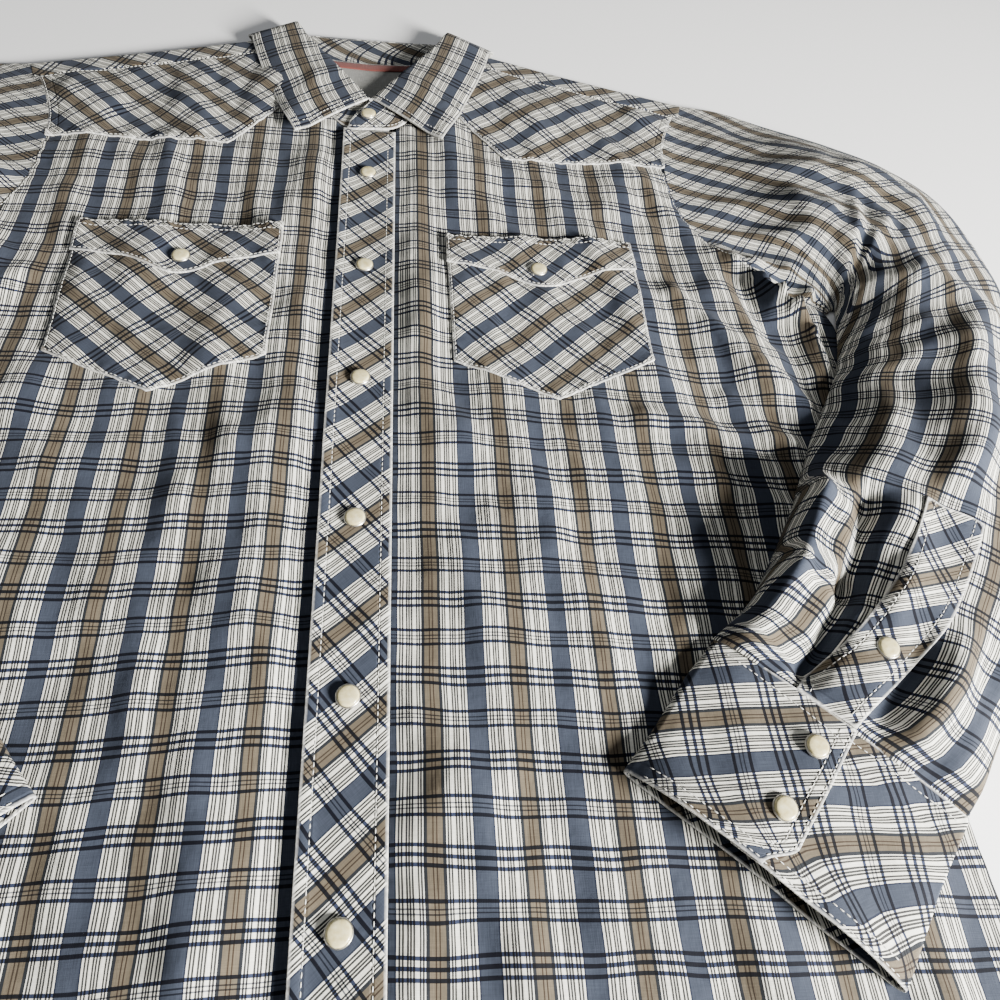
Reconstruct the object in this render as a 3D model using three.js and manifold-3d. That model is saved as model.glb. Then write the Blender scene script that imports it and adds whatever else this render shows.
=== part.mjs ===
// A western snap shirt laid on its back, both sleeves folded over the fronts.
// Millimetres. +Z is up from the table, +Y runs to the collar, +X is the wearer's left side.
// The origin is on the table under the middle of the body, on the centre line of the placket.
import * as THREE from "three";
import { mergeVertices } from "three/addons/utils/BufferGeometryUtils.js";
import Module from "manifold-3d";

const wasm = await Module();
wasm.setup();

// Cloth and seams
const WALL = 1.2; // one layer of cloth
const GAP = 0.3; // between layers, and between pieces at a seam
const LAYER = WALL + GAP;
const FLAT_TUBE = 2 * WALL + GAP; // a tube pressed flat
const SEAM_INSET = GAP / 2;
const RESTING_GAP = 0.8; // under a sleeve or cuff that rests on the body

// Body
const HALF_CHEST = 286;
const ARMPIT_Y = 146;
const HALF_WAIST = 260;
const WAIST_Y = -60;
const HALF_HEM = 266;
const SIDE_HEM_Y = -318;
const CENTRE_HEM_Y = -392;
const HEM_FLAT_HALF = 110; // the shirt tail is level this far out from the centre
const SIDE_FADE = 30; // folds die out this near the side seams
const SHOULDER_FADE = 45;
const GRID_X = 21; // pitch of the grid that all layers of the fronts share
const GRID_Y = 25;

// Placket, snaps, pockets and yokes
const PLACKET_WIDTH = 35;
const FRONT_OVERLAP_X = 15.6; // the right front runs under the placket this far past the centre
const SNAP_RADIUS = 5.4;
const SNAP_HEIGHT = 2.6;
const SNAP_SIDES = 12;
const SNAP_REST = 0.5; // a snap's rim clears the curve of a cuff by this
const FIRST_SNAP_Y = 258;
const SNAP_PITCH = 88;
const PLACKET_SNAPS = 7;
const POCKET = { inner: 49, outer: 168, top: 201, side: 97, foot: 70 };
const FLAP = { side: 174, dip: 168, point: 157, snapX: 105.5, snapY: 171 };
const YOKE = { cornerX: 92, level: 282, neckX: 47, neckY: 343, lap: 10 };
const NECK_FRONT_Y = 303;
const NECK_BACK_Y = 390;
const SHOULDER = { neckX: 69, neckY: 414, tipX: 233, tipY: 362 };
const SHOULDER_SEAM = 17; // the shoulder seam lies this far in front of the fold
const SHOULDER_SLOPE = (SHOULDER.neckY - SHOULDER.tipY) / (SHOULDER.tipX - SHOULDER.neckX);
const BACK_YOKE = { level: 285, point: 262 };
const UNDER_COLLAR = { lowY: 340, highY: 370, outX: 132, inX: 108 }; // where the back lies on the collar

// Collar, cuffs and gauntlets
const CUFF_HEIGHT = 76;
const CUFF_WIDTH = 126;
const CUFF_OVERLAP = 70; // from the left fold to the free end
const CUFF_UNDERLAP = 46;
const CUFF_BEVEL = 11;
const CUFF_BEVEL_SPREAD = 6;
const CUFF_MOUTH = 8.5; // how far the cuff stands open
const CUFF_SEAM_MOUTH = 6;
const CUFF_FOLD_INSET = 2.5;
const CUFF_SNAPS = [18, 50]; // down the cuff from its seam
const CUFF_SNAP_IN = 12; // from the free end

// Soft folds in the fronts: each runs from (x0, y0) to (x1, y1)
const FOLDS = [
  { x0: 216, y0: 158, x1: 252, y1: 92, height: 4.4, width: 15 },
  { x0: 186, y0: 150, x1: 226, y1: 76, height: 3.2, width: 16 },
  { x0: 236, y0: 182, x1: 256, y1: 140, height: 6.5, width: 13 },
  { x0: 274, y0: 140, x1: 272, y1: 92, height: 8.5, width: 12 },
  { x0: 150, y0: 66, x1: 206, y1: 8, height: 2.2, width: 24 },
  { x0: 60, y0: 44, x1: 150, y1: 20, height: 1.8, width: 26 },
  { x0: 40, y0: -40, x1: 120, y1: -62, height: 1.8, width: 28 },
  { x0: 34, y0: -150, x1: 74, y1: -300, height: 2.4, width: 30 },
  { x0: 150, y0: -240, x1: 176, y1: -350, height: 3.0, width: 32 },
  { x0: 30, y0: 240, x1: 36, y1: 120, height: 1.6, width: 20 },
  { x0: -34, y0: 250, x1: -30, y1: 60, height: 3.0, width: 19 },
  { x0: -44, y0: 40, x1: -36, y1: -150, height: 2.4, width: 22 },
  { x0: -70, y0: -60, x1: -150, y1: -40, height: 1.8, width: 28 },
  { x0: -60, y0: -170, x1: -92, y1: -330, height: 3.0, width: 30 },
  { x0: -160, y0: -230, x1: -190, y1: -340, height: 2.8, width: 30 },
  { x0: -212, y0: 168, x1: -250, y1: 100, height: 4.2, width: 16 },
  { x0: -272, y0: 138, x1: -270, y1: 96, height: 7.5, width: 13 },
  { x0: -180, y0: 60, x1: -228, y1: 10, height: 2.4, width: 24 },
  { x0: -230, y0: 238, x1: -258, y1: 182, height: 4.6, width: 15 },
];
const NECK_RISE = { y: 372, height: 6, reachX: 95, reachY: 75 };

// The sleeve as it lies, one row for each section from the armhole to the cuff: the ends of the
// section's fold edges in plan, and how far the cloth swells above a flat tube.
const SLEEVE_SECTIONS = [
  { innerX: 286, innerY: 146, outerX: 233, outerY: 362, swell: 0 },
  { innerX: 293, innerY: 149, outerX: 262, outerY: 359, swell: 7 },
  { innerX: 300, innerY: 153, outerX: 300, outerY: 342, swell: 14 },
  { innerX: 306, innerY: 158, outerX: 340, outerY: 324, swell: 18 },
  { innerX: 311, innerY: 162, outerX: 376, outerY: 302, swell: 20 },
  { innerX: 313, innerY: 160, outerX: 404, outerY: 270, swell: 21 },
  { innerX: 310, innerY: 149, outerX: 417, outerY: 222, swell: 22 },
  { innerX: 301, innerY: 131, outerX: 417, outerY: 165, swell: 24 },
  { innerX: 288, innerY: 108, outerX: 408, outerY: 108, swell: 26 },
  { innerX: 269, innerY: 77, outerX: 392, outerY: 52, swell: 26 },
  { innerX: 245, innerY: 42, outerX: 366, outerY: -2, swell: 25 },
  { innerX: 227, innerY: 8, outerX: 340, outerY: -48, swell: 22 },
  { innerX: 206, innerY: -28, outerX: 314, outerY: -92, swell: 18 },
  { innerX: 186, innerY: -55, outerX: 286, outerY: -126, swell: 13 },
  { innerX: 164, innerY: -73, outerX: 258.5, outerY: -156, swell: 7 },
];
const SLEEVE_ACROSS = [0, 0.08, 0.19, 0.32, 0.435, 0.55, 0.67, 0.8, 0.92, 1];
const SLEEVE_STEPS = 22;
const GAUNTLET = { fromColumn: 3, toColumn: 5, steps: 5, snapAt: 0.917 };
// The forearm's columns turn towards its outer fold and back again
const SLEEVE_TURN = { reach: 0.14, start: 0.4, full: 0.6, eased: 0.78 };
const ARMHOLE_BOW = 0.24; // the armhole's bow fades over this part of the sleeve's length
const FOREARM = { start: 0.34, full: 0.5 }; // where the sleeve comes to lie on the body
const BODY_EDGE = { outside: 26, inside: 4 }; // it drops to the table over this distance
const FULLNESS = 0.8; // below 1, a section is boxier than a sine arch
const FOLD_FADE_IN = 0.08;
const FOLD_FADE_OUT = 0.06;
// Folds along the sleeve: centre and width as parts of its width, start and end as parts of its length
const SLEEVE_FOLDS = [
  { start: 0.62, end: 0.97, centre: 0.24, width: 0.09, height: 7 },
  { start: 0.1, end: 0.42, centre: 0.72, width: 0.1, height: 5 },
  { start: 0.03, end: 0.3, centre: 0.3, width: 0.1, height: 7 },
  { start: 0.5, end: 0.8, centre: 0.6, width: 0.12, height: 6 },
  { start: 0.84, end: 1, centre: 0.72, width: 0.08, height: 5 },
];

// The collar stand from the centre front to the centre back: its seam edge, its top edge
const STAND_STATIONS = [
  { seamX: 0, seamY: 304.5, topX: 0, topY: 333, side: "front" },
  { seamX: 16.5, seamY: 307.8, topX: 11, topY: 350, side: "front" },
  { seamX: 34, seamY: 328, topX: 23, topY: 370, side: "front" },
  { seamX: 49, seamY: 352, topX: 37, topY: 391, side: "front" },
  { seamX: 59, seamY: 376.5, topX: 48, topY: 409, side: "front" },
  { seamX: 62, seamY: 395, topX: 54, topY: 421, side: "front" },
  { seamX: 62.5, seamY: 402, topX: 57, topY: 425, side: "fold" },
  { seamX: 59, seamY: 402.8, topX: 53, topY: 425.5, side: "back" },
  { seamX: 46, seamY: 398.4, topX: 42, topY: 425.2, side: "back" },
  { seamX: 24, seamY: 393, topX: 22, topY: 424.8, side: "back" },
  { seamX: 0, seamY: 391.5, topX: 0, topY: 424.6, side: "back" },
];
// The collar from its front end to the centre back: its fold edge, its free edge
const COLLAR_STATIONS = [
  { foldX: 0.8, foldY: 334.5, freeX: 49, freeY: 292, side: "front" },
  { foldX: 12.5, foldY: 352.5, freeX: 58, freeY: 312, side: "front" },
  { foldX: 24.5, foldY: 371.5, freeX: 68, freeY: 341, side: "front" },
  { foldX: 38.5, foldY: 393, freeX: 79, freeY: 373, side: "front" },
  { foldX: 50, foldY: 411.5, freeX: 86, freeY: 398, side: "front" },
  { foldX: 57, foldY: 426, freeX: 89.5, freeY: 411, side: "front" },
  { foldX: 61, foldY: 431, freeX: 92.5, freeY: 416, side: "fold" },
  { foldX: 58, foldY: 429, freeX: 88, freeY: 412.5, side: "back" },
  { foldX: 45, foldY: 428, freeX: 70, freeY: 396, side: "back" },
  { foldX: 24, foldY: 427, freeX: 38, freeY: 386, side: "back" },
  { foldX: 0, foldY: 426, freeX: 0, freeY: 384, side: "back" },
];
const FRONT_STAND_TOP_Z = 8.4;
const SIDE_STAND_TOP_Z = 9.8;
const STAND_LAP = 0.85; // each end of the stand moves up or down this much where they overlap
// The stand's free end, which laps over to the wearer's right and carries the snap
const STAND_FREE_END = [
  { seamX: -15.5, seamY: 303.4, seamZ: 6.7, topX: -13.2, topY: 312, topZ: 7.6 },
  { seamX: -11, seamY: 303.2, seamZ: 6.7, topX: -9, topY: 320, topZ: 8.6 },
];
const STAND_UNDERLAP = { x: 13, y: 2 };
const NECK_SNAP = { x: -1, y: 317, z: 9.5 };
const COLLAR_OVER_STAND = LAYER + 0.7;
const COLLAR_OVER_YOKE = 2 * LAYER + WALL / 2 + 0.6;

const clamp01 = (t) => Math.min(1, Math.max(0, t));
const mix = (a, b, t) => a + (b - a) * t;
function smoothstep(from, to, value) {
  const t = clamp01((value - from) / (to - from));
  return t * t * (3 - 2 * t);
}

// Heights

// A soft ridge that fades out at both ends
function ridge(x, y, { x0, y0, x1, y1, height, width }) {
  const dx = x1 - x0;
  const dy = y1 - y0;
  const t = ((x - x0) * dx + (y - y0) * dy) / (dx * dx + dy * dy);
  const near = clamp01(t);
  const away = Math.hypot(x - x0 - near * dx, y - y0 - near * dy);
  return height * Math.exp(-((away / width) ** 2));
}

// How far the back yoke is lifted by the collar folded beneath it
function backLift(x, y) {
  const { lowY, highY, outX, inX } = UNDER_COLLAR;
  return LAYER * smoothstep(lowY, highY, y) * smoothstep(outX, inX, Math.abs(x));
}

// Half the body's width at a height, from the tail to the armpit
function sideX(y) {
  const chest = (HALF_CHEST - HALF_WAIST) * smoothstep(WAIST_Y, ARMPIT_Y - 20, y);
  const tail = (HALF_HEM - HALF_WAIST) * smoothstep(WAIST_Y, SIDE_HEM_Y, y);
  return HALF_WAIST + chest + tail;
}

// The underside of the fronts above the table
function frontHeight(x, y) {
  const out = Math.abs(x);
  const rise = Math.exp(-((x / NECK_RISE.reachX) ** 2) - ((y - NECK_RISE.y) / NECK_RISE.reachY) ** 2);
  const folds = FOLDS.reduce((sum, fold) => sum + ridge(x, y, fold), 0);
  const sideEdge = y < ARMPIT_Y + 10 ? smoothstep(sideX(y), sideX(y) - SIDE_FADE, out) : 1;
  const belowShoulder = SHOULDER.neckY - SHOULDER_SLOPE * (out - SHOULDER.neckX) - y;
  const shoulderEdge = smoothstep(0, SHOULDER_FADE, belowShoulder);
  return LAYER + NECK_RISE.height * rise + folds * sideEdge * shoulderEdge;
}

// The height of a function as the shared grid draws it, with flat triangles between its points
function gridHeight(height, x, y) {
  const i = Math.floor(x / GRID_X);
  const j = Math.floor(y / GRID_Y);
  const u = x / GRID_X - i;
  const v = y / GRID_Y - j;
  const at = (a, b) => height((i + a) * GRID_X, (j + b) * GRID_Y);
  if (u + v <= 1) return at(0, 0) + u * (at(1, 0) - at(0, 0)) + v * (at(0, 1) - at(0, 0));
  return at(1, 1) + (1 - u) * (at(0, 1) - at(1, 1)) + (1 - v) * (at(1, 0) - at(1, 1));
}

// Outlines, as lists of [x, y]

function curve(points, steps) {
  const through = points.map(([x, y]) => new THREE.Vector3(x, y, 0));
  const path = new THREE.CatmullRomCurve3(through, false, "centripetal");
  return path.getPoints(steps).map((p) => [p.x, p.y]);
}
const mirrored = (points) => points.map(([x, y]) => [-x, y]).reverse();

// Moves an outline's edges inwards by the seam's share of the gap
function inset(points, distance) {
  const closed = points.filter(([x, y], k) => {
    const [px, py] = points[(k + points.length - 1) % points.length];
    return Math.hypot(x - px, y - py) > 1e-3;
  });
  const area = THREE.ShapeUtils.area(closed.map(([x, y]) => new THREE.Vector2(x, y)));
  const shape = area < 0 ? closed.reverse() : closed;
  return shape.map(([x, y], k) => {
    const before = shape[(k + shape.length - 1) % shape.length];
    const after = shape[(k + 1) % shape.length];
    const a = new THREE.Vector2(x - before[0], y - before[1]).normalize();
    const b = new THREE.Vector2(after[0] - x, after[1] - y).normalize();
    const normal = new THREE.Vector2(-a.y - b.y, a.x + b.x).normalize();
    const reach = distance / Math.max(0.35, normal.x * -b.y + normal.y * b.x);
    return [x + normal.x * reach, y + normal.y * reach];
  });
}

// Solids

function solidOf(geometry) {
  const bare = geometry.clone();
  bare.deleteAttribute("normal");
  bare.deleteAttribute("uv");
  const merged = mergeVertices(bare, 1e-4);
  return new wasm.Manifold(
    new wasm.Mesh({
      numProp: 3,
      vertProperties: new Float32Array(merged.attributes.position.array),
      triVerts: new Uint32Array(merged.index.array),
    }),
  );
}

function geometryOf(solid) {
  const mesh = solid.getMesh();
  const geometry = new THREE.BufferGeometry();
  geometry.setAttribute("position", new THREE.BufferAttribute(mesh.vertProperties, 3));
  geometry.setIndex(new THREE.BufferAttribute(mesh.triVerts, 1));
  geometry.computeVertexNormals();
  return geometry;
}

// Turns an indexed mesh so that its faces point out
function facingOut(positions, index) {
  let volume = 0;
  const a = new THREE.Vector3();
  const b = new THREE.Vector3();
  const c = new THREE.Vector3();
  for (let k = 0; k < index.length; k += 3) {
    a.fromArray(positions, 3 * index[k]);
    b.fromArray(positions, 3 * index[k + 1]);
    c.fromArray(positions, 3 * index[k + 2]);
    volume += a.dot(b.cross(c));
  }
  if (volume < 0) index.reverse();
  const geometry = new THREE.BufferGeometry();
  geometry.setAttribute("position", new THREE.Float32BufferAttribute(positions, 3));
  geometry.setIndex(index);
  geometry.computeVertexNormals();
  return geometry;
}

function prism(points, bottom, top) {
  const shape = new THREE.Shape(points.map(([x, y]) => new THREE.Vector2(x, y)));
  const geometry = new THREE.ExtrudeGeometry(shape, { depth: top - bottom, bevelEnabled: false });
  geometry.translate(0, 0, bottom);
  return geometry;
}

// The space between two height functions over the part of the shared grid that holds the points
function slab(lower, upper, points) {
  const xs = points.map((p) => p[0]);
  const ys = points.map((p) => p[1]);
  const i0 = Math.floor(Math.min(...xs) / GRID_X) - 1;
  const i1 = Math.ceil(Math.max(...xs) / GRID_X) + 1;
  const j0 = Math.floor(Math.min(...ys) / GRID_Y) - 1;
  const j1 = Math.ceil(Math.max(...ys) / GRID_Y) + 1;
  const columns = i1 - i0 + 1;
  const rows = j1 - j0 + 1;
  const positions = [];
  for (const height of [lower, upper])
    for (let j = j0; j <= j1; j++)
      for (let i = i0; i <= i1; i++) {
        const x = i * GRID_X;
        const y = j * GRID_Y;
        positions.push(x, y, height(x, y));
      }
  const index = [];
  const at = (side, i, j) => side * columns * rows + j * columns + i;
  const quad = (a, b, c, d) => index.push(a, b, d, b, c, d);
  for (let j = 0; j < rows - 1; j++)
    for (let i = 0; i < columns - 1; i++) {
      quad(at(1, i, j), at(1, i + 1, j), at(1, i + 1, j + 1), at(1, i, j + 1));
      index.push(at(0, i, j), at(0, i, j + 1), at(0, i + 1, j));
      index.push(at(0, i + 1, j), at(0, i, j + 1), at(0, i + 1, j + 1));
    }
  for (let i = 0; i < columns - 1; i++) {
    quad(at(0, i, 0), at(0, i + 1, 0), at(1, i + 1, 0), at(1, i, 0));
    quad(at(0, i + 1, rows - 1), at(0, i, rows - 1), at(1, i, rows - 1), at(1, i + 1, rows - 1));
  }
  for (let j = 0; j < rows - 1; j++) {
    quad(at(0, 0, j + 1), at(0, 0, j), at(1, 0, j), at(1, 0, j + 1));
    const last = columns - 1;
    quad(at(0, last, j), at(0, last, j + 1), at(1, last, j + 1), at(1, last, j));
  }
  return facingOut(positions, index);
}

// A layer of cloth of the given outline between two height functions
function cutLayer(points, lower, upper) {
  const outline = inset(points, SEAM_INSET);
  return solidOf(slab(lower, upper, outline)).intersect(solidOf(prism(outline, -5, 60)));
}

// The nth layer of the fronts: 0 is the front itself, 1 lies on it, and so on
function frontLayer(points, layer) {
  const lower = (x, y) => frontHeight(x, y) + layer * LAYER;
  const upper = (x, y) => frontHeight(x, y) + layer * LAYER + WALL;
  return cutLayer(points, lower, upper);
}

// A sheet of cloth about a grid of points in its middle, given row by row. Its two faces are moved
// out square to it, or straight up and down where it has to follow what it lies on.
const UP = new THREE.Vector3(0, 0, 1);
function squareTo(rows, i, j) {
  const row = rows[i];
  const next = rows[Math.min(i + 1, rows.length - 1)][j];
  const along = new THREE.Vector3().subVectors(next, rows[Math.max(i - 1, 0)][j]);
  const beside = row[Math.min(j + 1, row.length - 1)];
  const across = new THREE.Vector3().subVectors(beside, row[Math.max(j - 1, 0)]);
  return along.cross(across).normalize();
}
function sheet(rows, direction = squareTo) {
  const m = rows.length;
  const n = rows[0].length;
  const positions = [];
  for (const side of [-WALL / 2, WALL / 2])
    rows.forEach((row, i) =>
      row.forEach((point, j) =>
        positions.push(...point.clone().addScaledVector(direction(rows, i, j), side).toArray()),
      ),
    );
  const index = [];
  const at = (side, i, j) => side * m * n + i * n + j;
  const quad = (a, b, c, d) => index.push(a, b, c, a, c, d);
  for (let i = 0; i < m - 1; i++)
    for (let j = 0; j < n - 1; j++) {
      quad(at(1, i, j), at(1, i + 1, j), at(1, i + 1, j + 1), at(1, i, j + 1));
      index.push(at(0, i, j), at(0, i + 1, j + 1), at(0, i + 1, j));
      index.push(at(0, i, j), at(0, i, j + 1), at(0, i + 1, j + 1));
    }
  const rim = [];
  for (let i = 0; i < m - 1; i++) rim.push([i, 0]);
  for (let j = 0; j < n - 1; j++) rim.push([m - 1, j]);
  for (let i = m - 1; i > 0; i--) rim.push([i, n - 1]);
  for (let j = n - 1; j > 0; j--) rim.push([0, j]);
  rim.forEach(([i, j], k) => {
    const [a, b] = rim[(k + 1) % rim.length];
    quad(at(0, i, j), at(0, a, b), at(1, a, b), at(1, i, j));
  });
  return facingOut(positions, index);
}

// A cloth tube with open ends, from the outer and inner loop of each section
function tube(sections) {
  const m = sections.length;
  const n = sections[0].outer.length;
  const positions = [];
  for (const wall of ["outer", "inner"])
    for (const section of sections) for (const point of section[wall]) positions.push(...point.toArray());
  const index = [];
  const at = (wall, i, j) => wall * m * n + i * n + (j % n);
  const quad = (a, b, c, d) => index.push(a, b, c, a, c, d);
  for (let i = 0; i < m - 1; i++)
    for (let j = 0; j < n; j++) {
      quad(at(0, i, j), at(0, i + 1, j), at(0, i + 1, j + 1), at(0, i, j + 1));
      quad(at(1, i, j), at(1, i, j + 1), at(1, i + 1, j + 1), at(1, i + 1, j));
    }
  for (let j = 0; j < n; j++) {
    quad(at(0, 0, j), at(0, 0, j + 1), at(1, 0, j + 1), at(1, 0, j));
    quad(at(0, m - 1, j + 1), at(0, m - 1, j), at(1, m - 1, j), at(1, m - 1, j + 1));
  }
  return facingOut(positions, index);
}

// Materials
const finish = (color, roughness) => new THREE.MeshStandardMaterial({ color, roughness });
const MATERIALS = {
  plaid: finish(0x9c9a94, 0.9),
  biasPlaid: finish(0x8b8c8e, 0.9),
  plain: finish(0x77777a, 0.9),
  tape: finish(0x6e2d28, 0.8),
  pearl: finish(0xe4dcb8, 0.25),
};

const shirt = new THREE.Group();
shirt.name = "western_snap_shirt";
function addPiece(name, geometry, material) {
  const mesh = new THREE.Mesh(geometry, material);
  mesh.name = name;
  shirt.add(mesh);
  return mesh;
}

// Edges that several pieces share, on the wearer's left side
const ARMHOLE = curve(
  [
    [HALF_CHEST, ARMPIT_Y],
    [263, 159],
    [241, 178],
    [220, 206],
    [209, 236],
    [206, 266],
    [208, 300],
    [219, 335],
    [SHOULDER.tipX, SHOULDER.tipY],
  ],
  18,
);
const NECKLINE = curve(
  [
    [17, 306],
    [35, 327],
    [YOKE.neckX, YOKE.neckY],
    [59, 372],
    [64.5, 392],
    [67, 408],
  ],
  8,
);
const SIDE_STEPS = 9;
const SIDE = Array.from({ length: SIDE_STEPS + 1 }, (_, k) => {
  const y = mix(SIDE_HEM_Y, ARMPIT_Y, k / SIDE_STEPS);
  return [sideX(y), y];
});

function hemY(x) {
  return CENTRE_HEM_Y + (SIDE_HEM_Y - CENTRE_HEM_Y) * smoothstep(HEM_FLAT_HALF, HALF_HEM + 14, Math.abs(x));
}
function hem(fromX, toX, steps) {
  return Array.from({ length: steps + 1 }, (_, k) => {
    const x = mix(fromX, toX, k / steps);
    return [x, hemY(x)];
  });
}

const shoulderAlong = new THREE.Vector2(1, -SHOULDER_SLOPE).normalize();
function fromShoulder([x, y], distance) {
  return [x + shoulderAlong.y * distance, y - shoulderAlong.x * distance];
}
const SHOULDER_NECK = [SHOULDER.neckX, SHOULDER.neckY];
const SHOULDER_TIP = [SHOULDER.tipX, SHOULDER.tipY];
const SEAM_NECK = fromShoulder(SHOULDER_NECK, SHOULDER_SEAM);
const SEAM_TIP = fromShoulder(SHOULDER_TIP, SHOULDER_SEAM);

const armholeBelow = (y) => ARMHOLE.filter((p) => p[1] < y - 1);
const armholeBetween = (low, high) => ARMHOLE.filter((p) => p[1] > low + 1 && p[1] < high - 1);
function armholeAt(y) {
  const k = ARMHOLE.findIndex((p) => p[1] >= y);
  const [before, after] = [ARMHOLE[k - 1], ARMHOLE[k]];
  return [mix(before[0], after[0], (y - before[1]) / (after[1] - before[1])), y];
}
const necklineBelow = (y) => NECKLINE.filter((p) => p[1] < y - 1);

// Back and back yoke
function addBack() {
  const armhole = armholeBelow(BACK_YOKE.level);
  const left = [...SIDE.slice(0, -1), ...armhole, armholeAt(BACK_YOKE.level)];
  const right = mirrored(left).slice(0, -1);
  const outline = [...hem(-HALF_HEM, HALF_HEM, 28), ...left.slice(1), [0, BACK_YOKE.point], ...right];
  addPiece("back", prism(inset(outline, SEAM_INSET), 0, WALL), MATERIALS.plaid);
}

function addBackYoke() {
  const armhole = [armholeAt(BACK_YOKE.level), ...armholeBetween(BACK_YOKE.level, SHOULDER.tipY)];
  const neck = curve([SHOULDER_NECK, [65, 405], [48, 397.5], [24, 391.5], [0, NECK_BACK_Y]], 8);
  const left = [...armhole, SHOULDER_TIP, ...neck];
  const plate = [[0, BACK_YOKE.point], ...left, ...mirrored(left).slice(1)];
  let solid = cutLayer(plate, backLift, (x, y) => backLift(x, y) + WALL);
  const top = (x, y) => frontHeight(x, y) + LAYER + WALL;
  for (const side of [1, -1]) {
    const place = (points) => points.map(([x, y]) => [side * x, y]);
    const tip = fromShoulder(SHOULDER_TIP, 0.3);
    const fold = place([SHOULDER_NECK, tip, fromShoulder(tip, WALL), fromShoulder(SHOULDER_NECK, WALL)]);
    const strip = place([SHOULDER_NECK, tip, [...armholeAt(SEAM_TIP[1])], SEAM_NECK]);
    solid = solid.add(cutLayer(fold, backLift, top));
    solid = solid.add(cutLayer(strip, (x, y) => frontHeight(x, y) + LAYER, top));
  }
  addPiece("back_yoke", geometryOf(solid), MATERIALS.biasPlaid);
}

// What shows inside the neck
function addNeckLining() {
  const half = [[46, 336], [46, 372], [44, 392.5], [24, 388.5], [0, 387]];
  const outline = [...half, ...mirrored(half).slice(1)];
  const halfTape = [[36, 382], [36, 390.2], [24, 388.3], [0, 386.8]];
  const tape = [...halfTape, ...mirrored(halfTape).slice(1), [0, 379]];
  const layer = (points, n) =>
    cutLayer(
      points,
      (x, y) => backLift(x, y) + n * LAYER,
      (x, y) => backLift(x, y) + n * LAYER + WALL,
    );
  addPiece("inner_yoke", geometryOf(layer(outline, 1)), MATERIALS.plain);
  addPiece("neck_tape", geometryOf(layer(tape, 2)), MATERIALS.tape);
}

// Fronts: their top edges run under the yokes
function frontOutline(centreX) {
  const lapped = armholeAt(YOKE.level + YOKE.lap);
  return [
    ...hem(centreX, HALF_HEM, 14),
    ...SIDE.slice(1, -1),
    ...armholeBelow(lapped[1]),
    lapped,
    [YOKE.cornerX + YOKE.lap, YOKE.level + YOKE.lap],
    [YOKE.neckX + YOKE.lap, YOKE.neckY + YOKE.lap],
    ...necklineBelow(YOKE.neckY).reverse(),
    [centreX, NECK_FRONT_Y],
  ];
}
function addFronts() {
  const left = frontOutline(FRONT_OVERLAP_X + GAP);
  addPiece("front_left", geometryOf(frontLayer(left, 0)), MATERIALS.plaid);
  const right = mirrored(frontOutline(-FRONT_OVERLAP_X));
  addPiece("front_right", geometryOf(frontLayer(right, 0)), MATERIALS.plaid);
}

function yokeOutline() {
  return [
    [YOKE.cornerX, YOKE.level],
    armholeAt(YOKE.level),
    ...armholeBetween(YOKE.level, SEAM_TIP[1]),
    armholeAt(SEAM_TIP[1]),
    SEAM_NECK,
    ...NECKLINE.filter((p) => p[1] > YOKE.neckY && p[1] < SEAM_NECK[1] - 1).reverse(),
    [YOKE.neckX, YOKE.neckY],
  ];
}
function addYokes() {
  addPiece("front_yoke_left", geometryOf(frontLayer(yokeOutline(), 1)), MATERIALS.biasPlaid);
  addPiece("front_yoke_right", geometryOf(frontLayer(mirrored(yokeOutline()), 1)), MATERIALS.biasPlaid);
}

function addPlacket() {
  const half = PLACKET_WIDTH / 2;
  const outline = [
    [half, CENTRE_HEM_Y],
    [half, NECK_FRONT_Y],
    [-half, NECK_FRONT_Y],
    [-half, CENTRE_HEM_Y],
  ];
  addPiece("placket", geometryOf(frontLayer(outline, 1)), MATERIALS.biasPlaid);
}

// Pockets with a pointed foot, and flaps whose lower edge dips to a point
function pocketOutline() {
  const middle = (POCKET.inner + POCKET.outer) / 2;
  return [
    [POCKET.outer, POCKET.top],
    [POCKET.inner, POCKET.top],
    [POCKET.inner + 2, POCKET.side],
    [middle, POCKET.foot],
    [POCKET.outer - 2, POCKET.side],
  ];
}
function flapOutline() {
  const middle = (POCKET.inner + POCKET.outer) / 2;
  const quarter = (POCKET.outer - POCKET.inner) / 4;
  const scallop = curve(
    [
      [POCKET.inner, FLAP.side],
      [middle - quarter, FLAP.dip],
      [middle, FLAP.point],
      [middle + quarter, FLAP.dip],
      [POCKET.outer, FLAP.side],
    ],
    12,
  );
  return [...scallop, [POCKET.outer, POCKET.top], [POCKET.inner, POCKET.top]];
}
function addPockets() {
  addPiece("pocket_left", geometryOf(frontLayer(pocketOutline(), 1)), MATERIALS.biasPlaid);
  addPiece("pocket_right", geometryOf(frontLayer(mirrored(pocketOutline()), 1)), MATERIALS.biasPlaid);
  addPiece("pocket_flap_left", geometryOf(frontLayer(flapOutline(), 2)), MATERIALS.biasPlaid);
  addPiece("pocket_flap_right", geometryOf(frontLayer(mirrored(flapOutline()), 2)), MATERIALS.biasPlaid);
}

// Collar and stand: sheets through stations that go over the front, fold at the shoulder and
// run back underneath, for the wearer's left half, then mirrored
function ringRows(stations, edgesOf, steps) {
  const edges = stations.map(edgesOf);
  const spline = (k) => {
    const through = edges.map((e) => e[k]);
    return new THREE.CatmullRomCurve3(through, false, "centripetal");
  };
  const [low, high] = [spline(0), spline(1)];
  const onTable = (p) => p.setZ(Math.max(p.z, WALL / 2));
  return Array.from({ length: steps + 1 }, (_, k) => {
    const t = k / steps;
    return [low.getPoint(t), high.getPoint(t)].map(onTable);
  });
}
const across = ([from, to], steps) =>
  Array.from({ length: steps + 1 }, (_, k) => new THREE.Vector3().lerpVectors(from, to, k / steps));
const mirrorRow = (row) => row.map((p) => new THREE.Vector3(-p.x, p.y, p.z));

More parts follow.
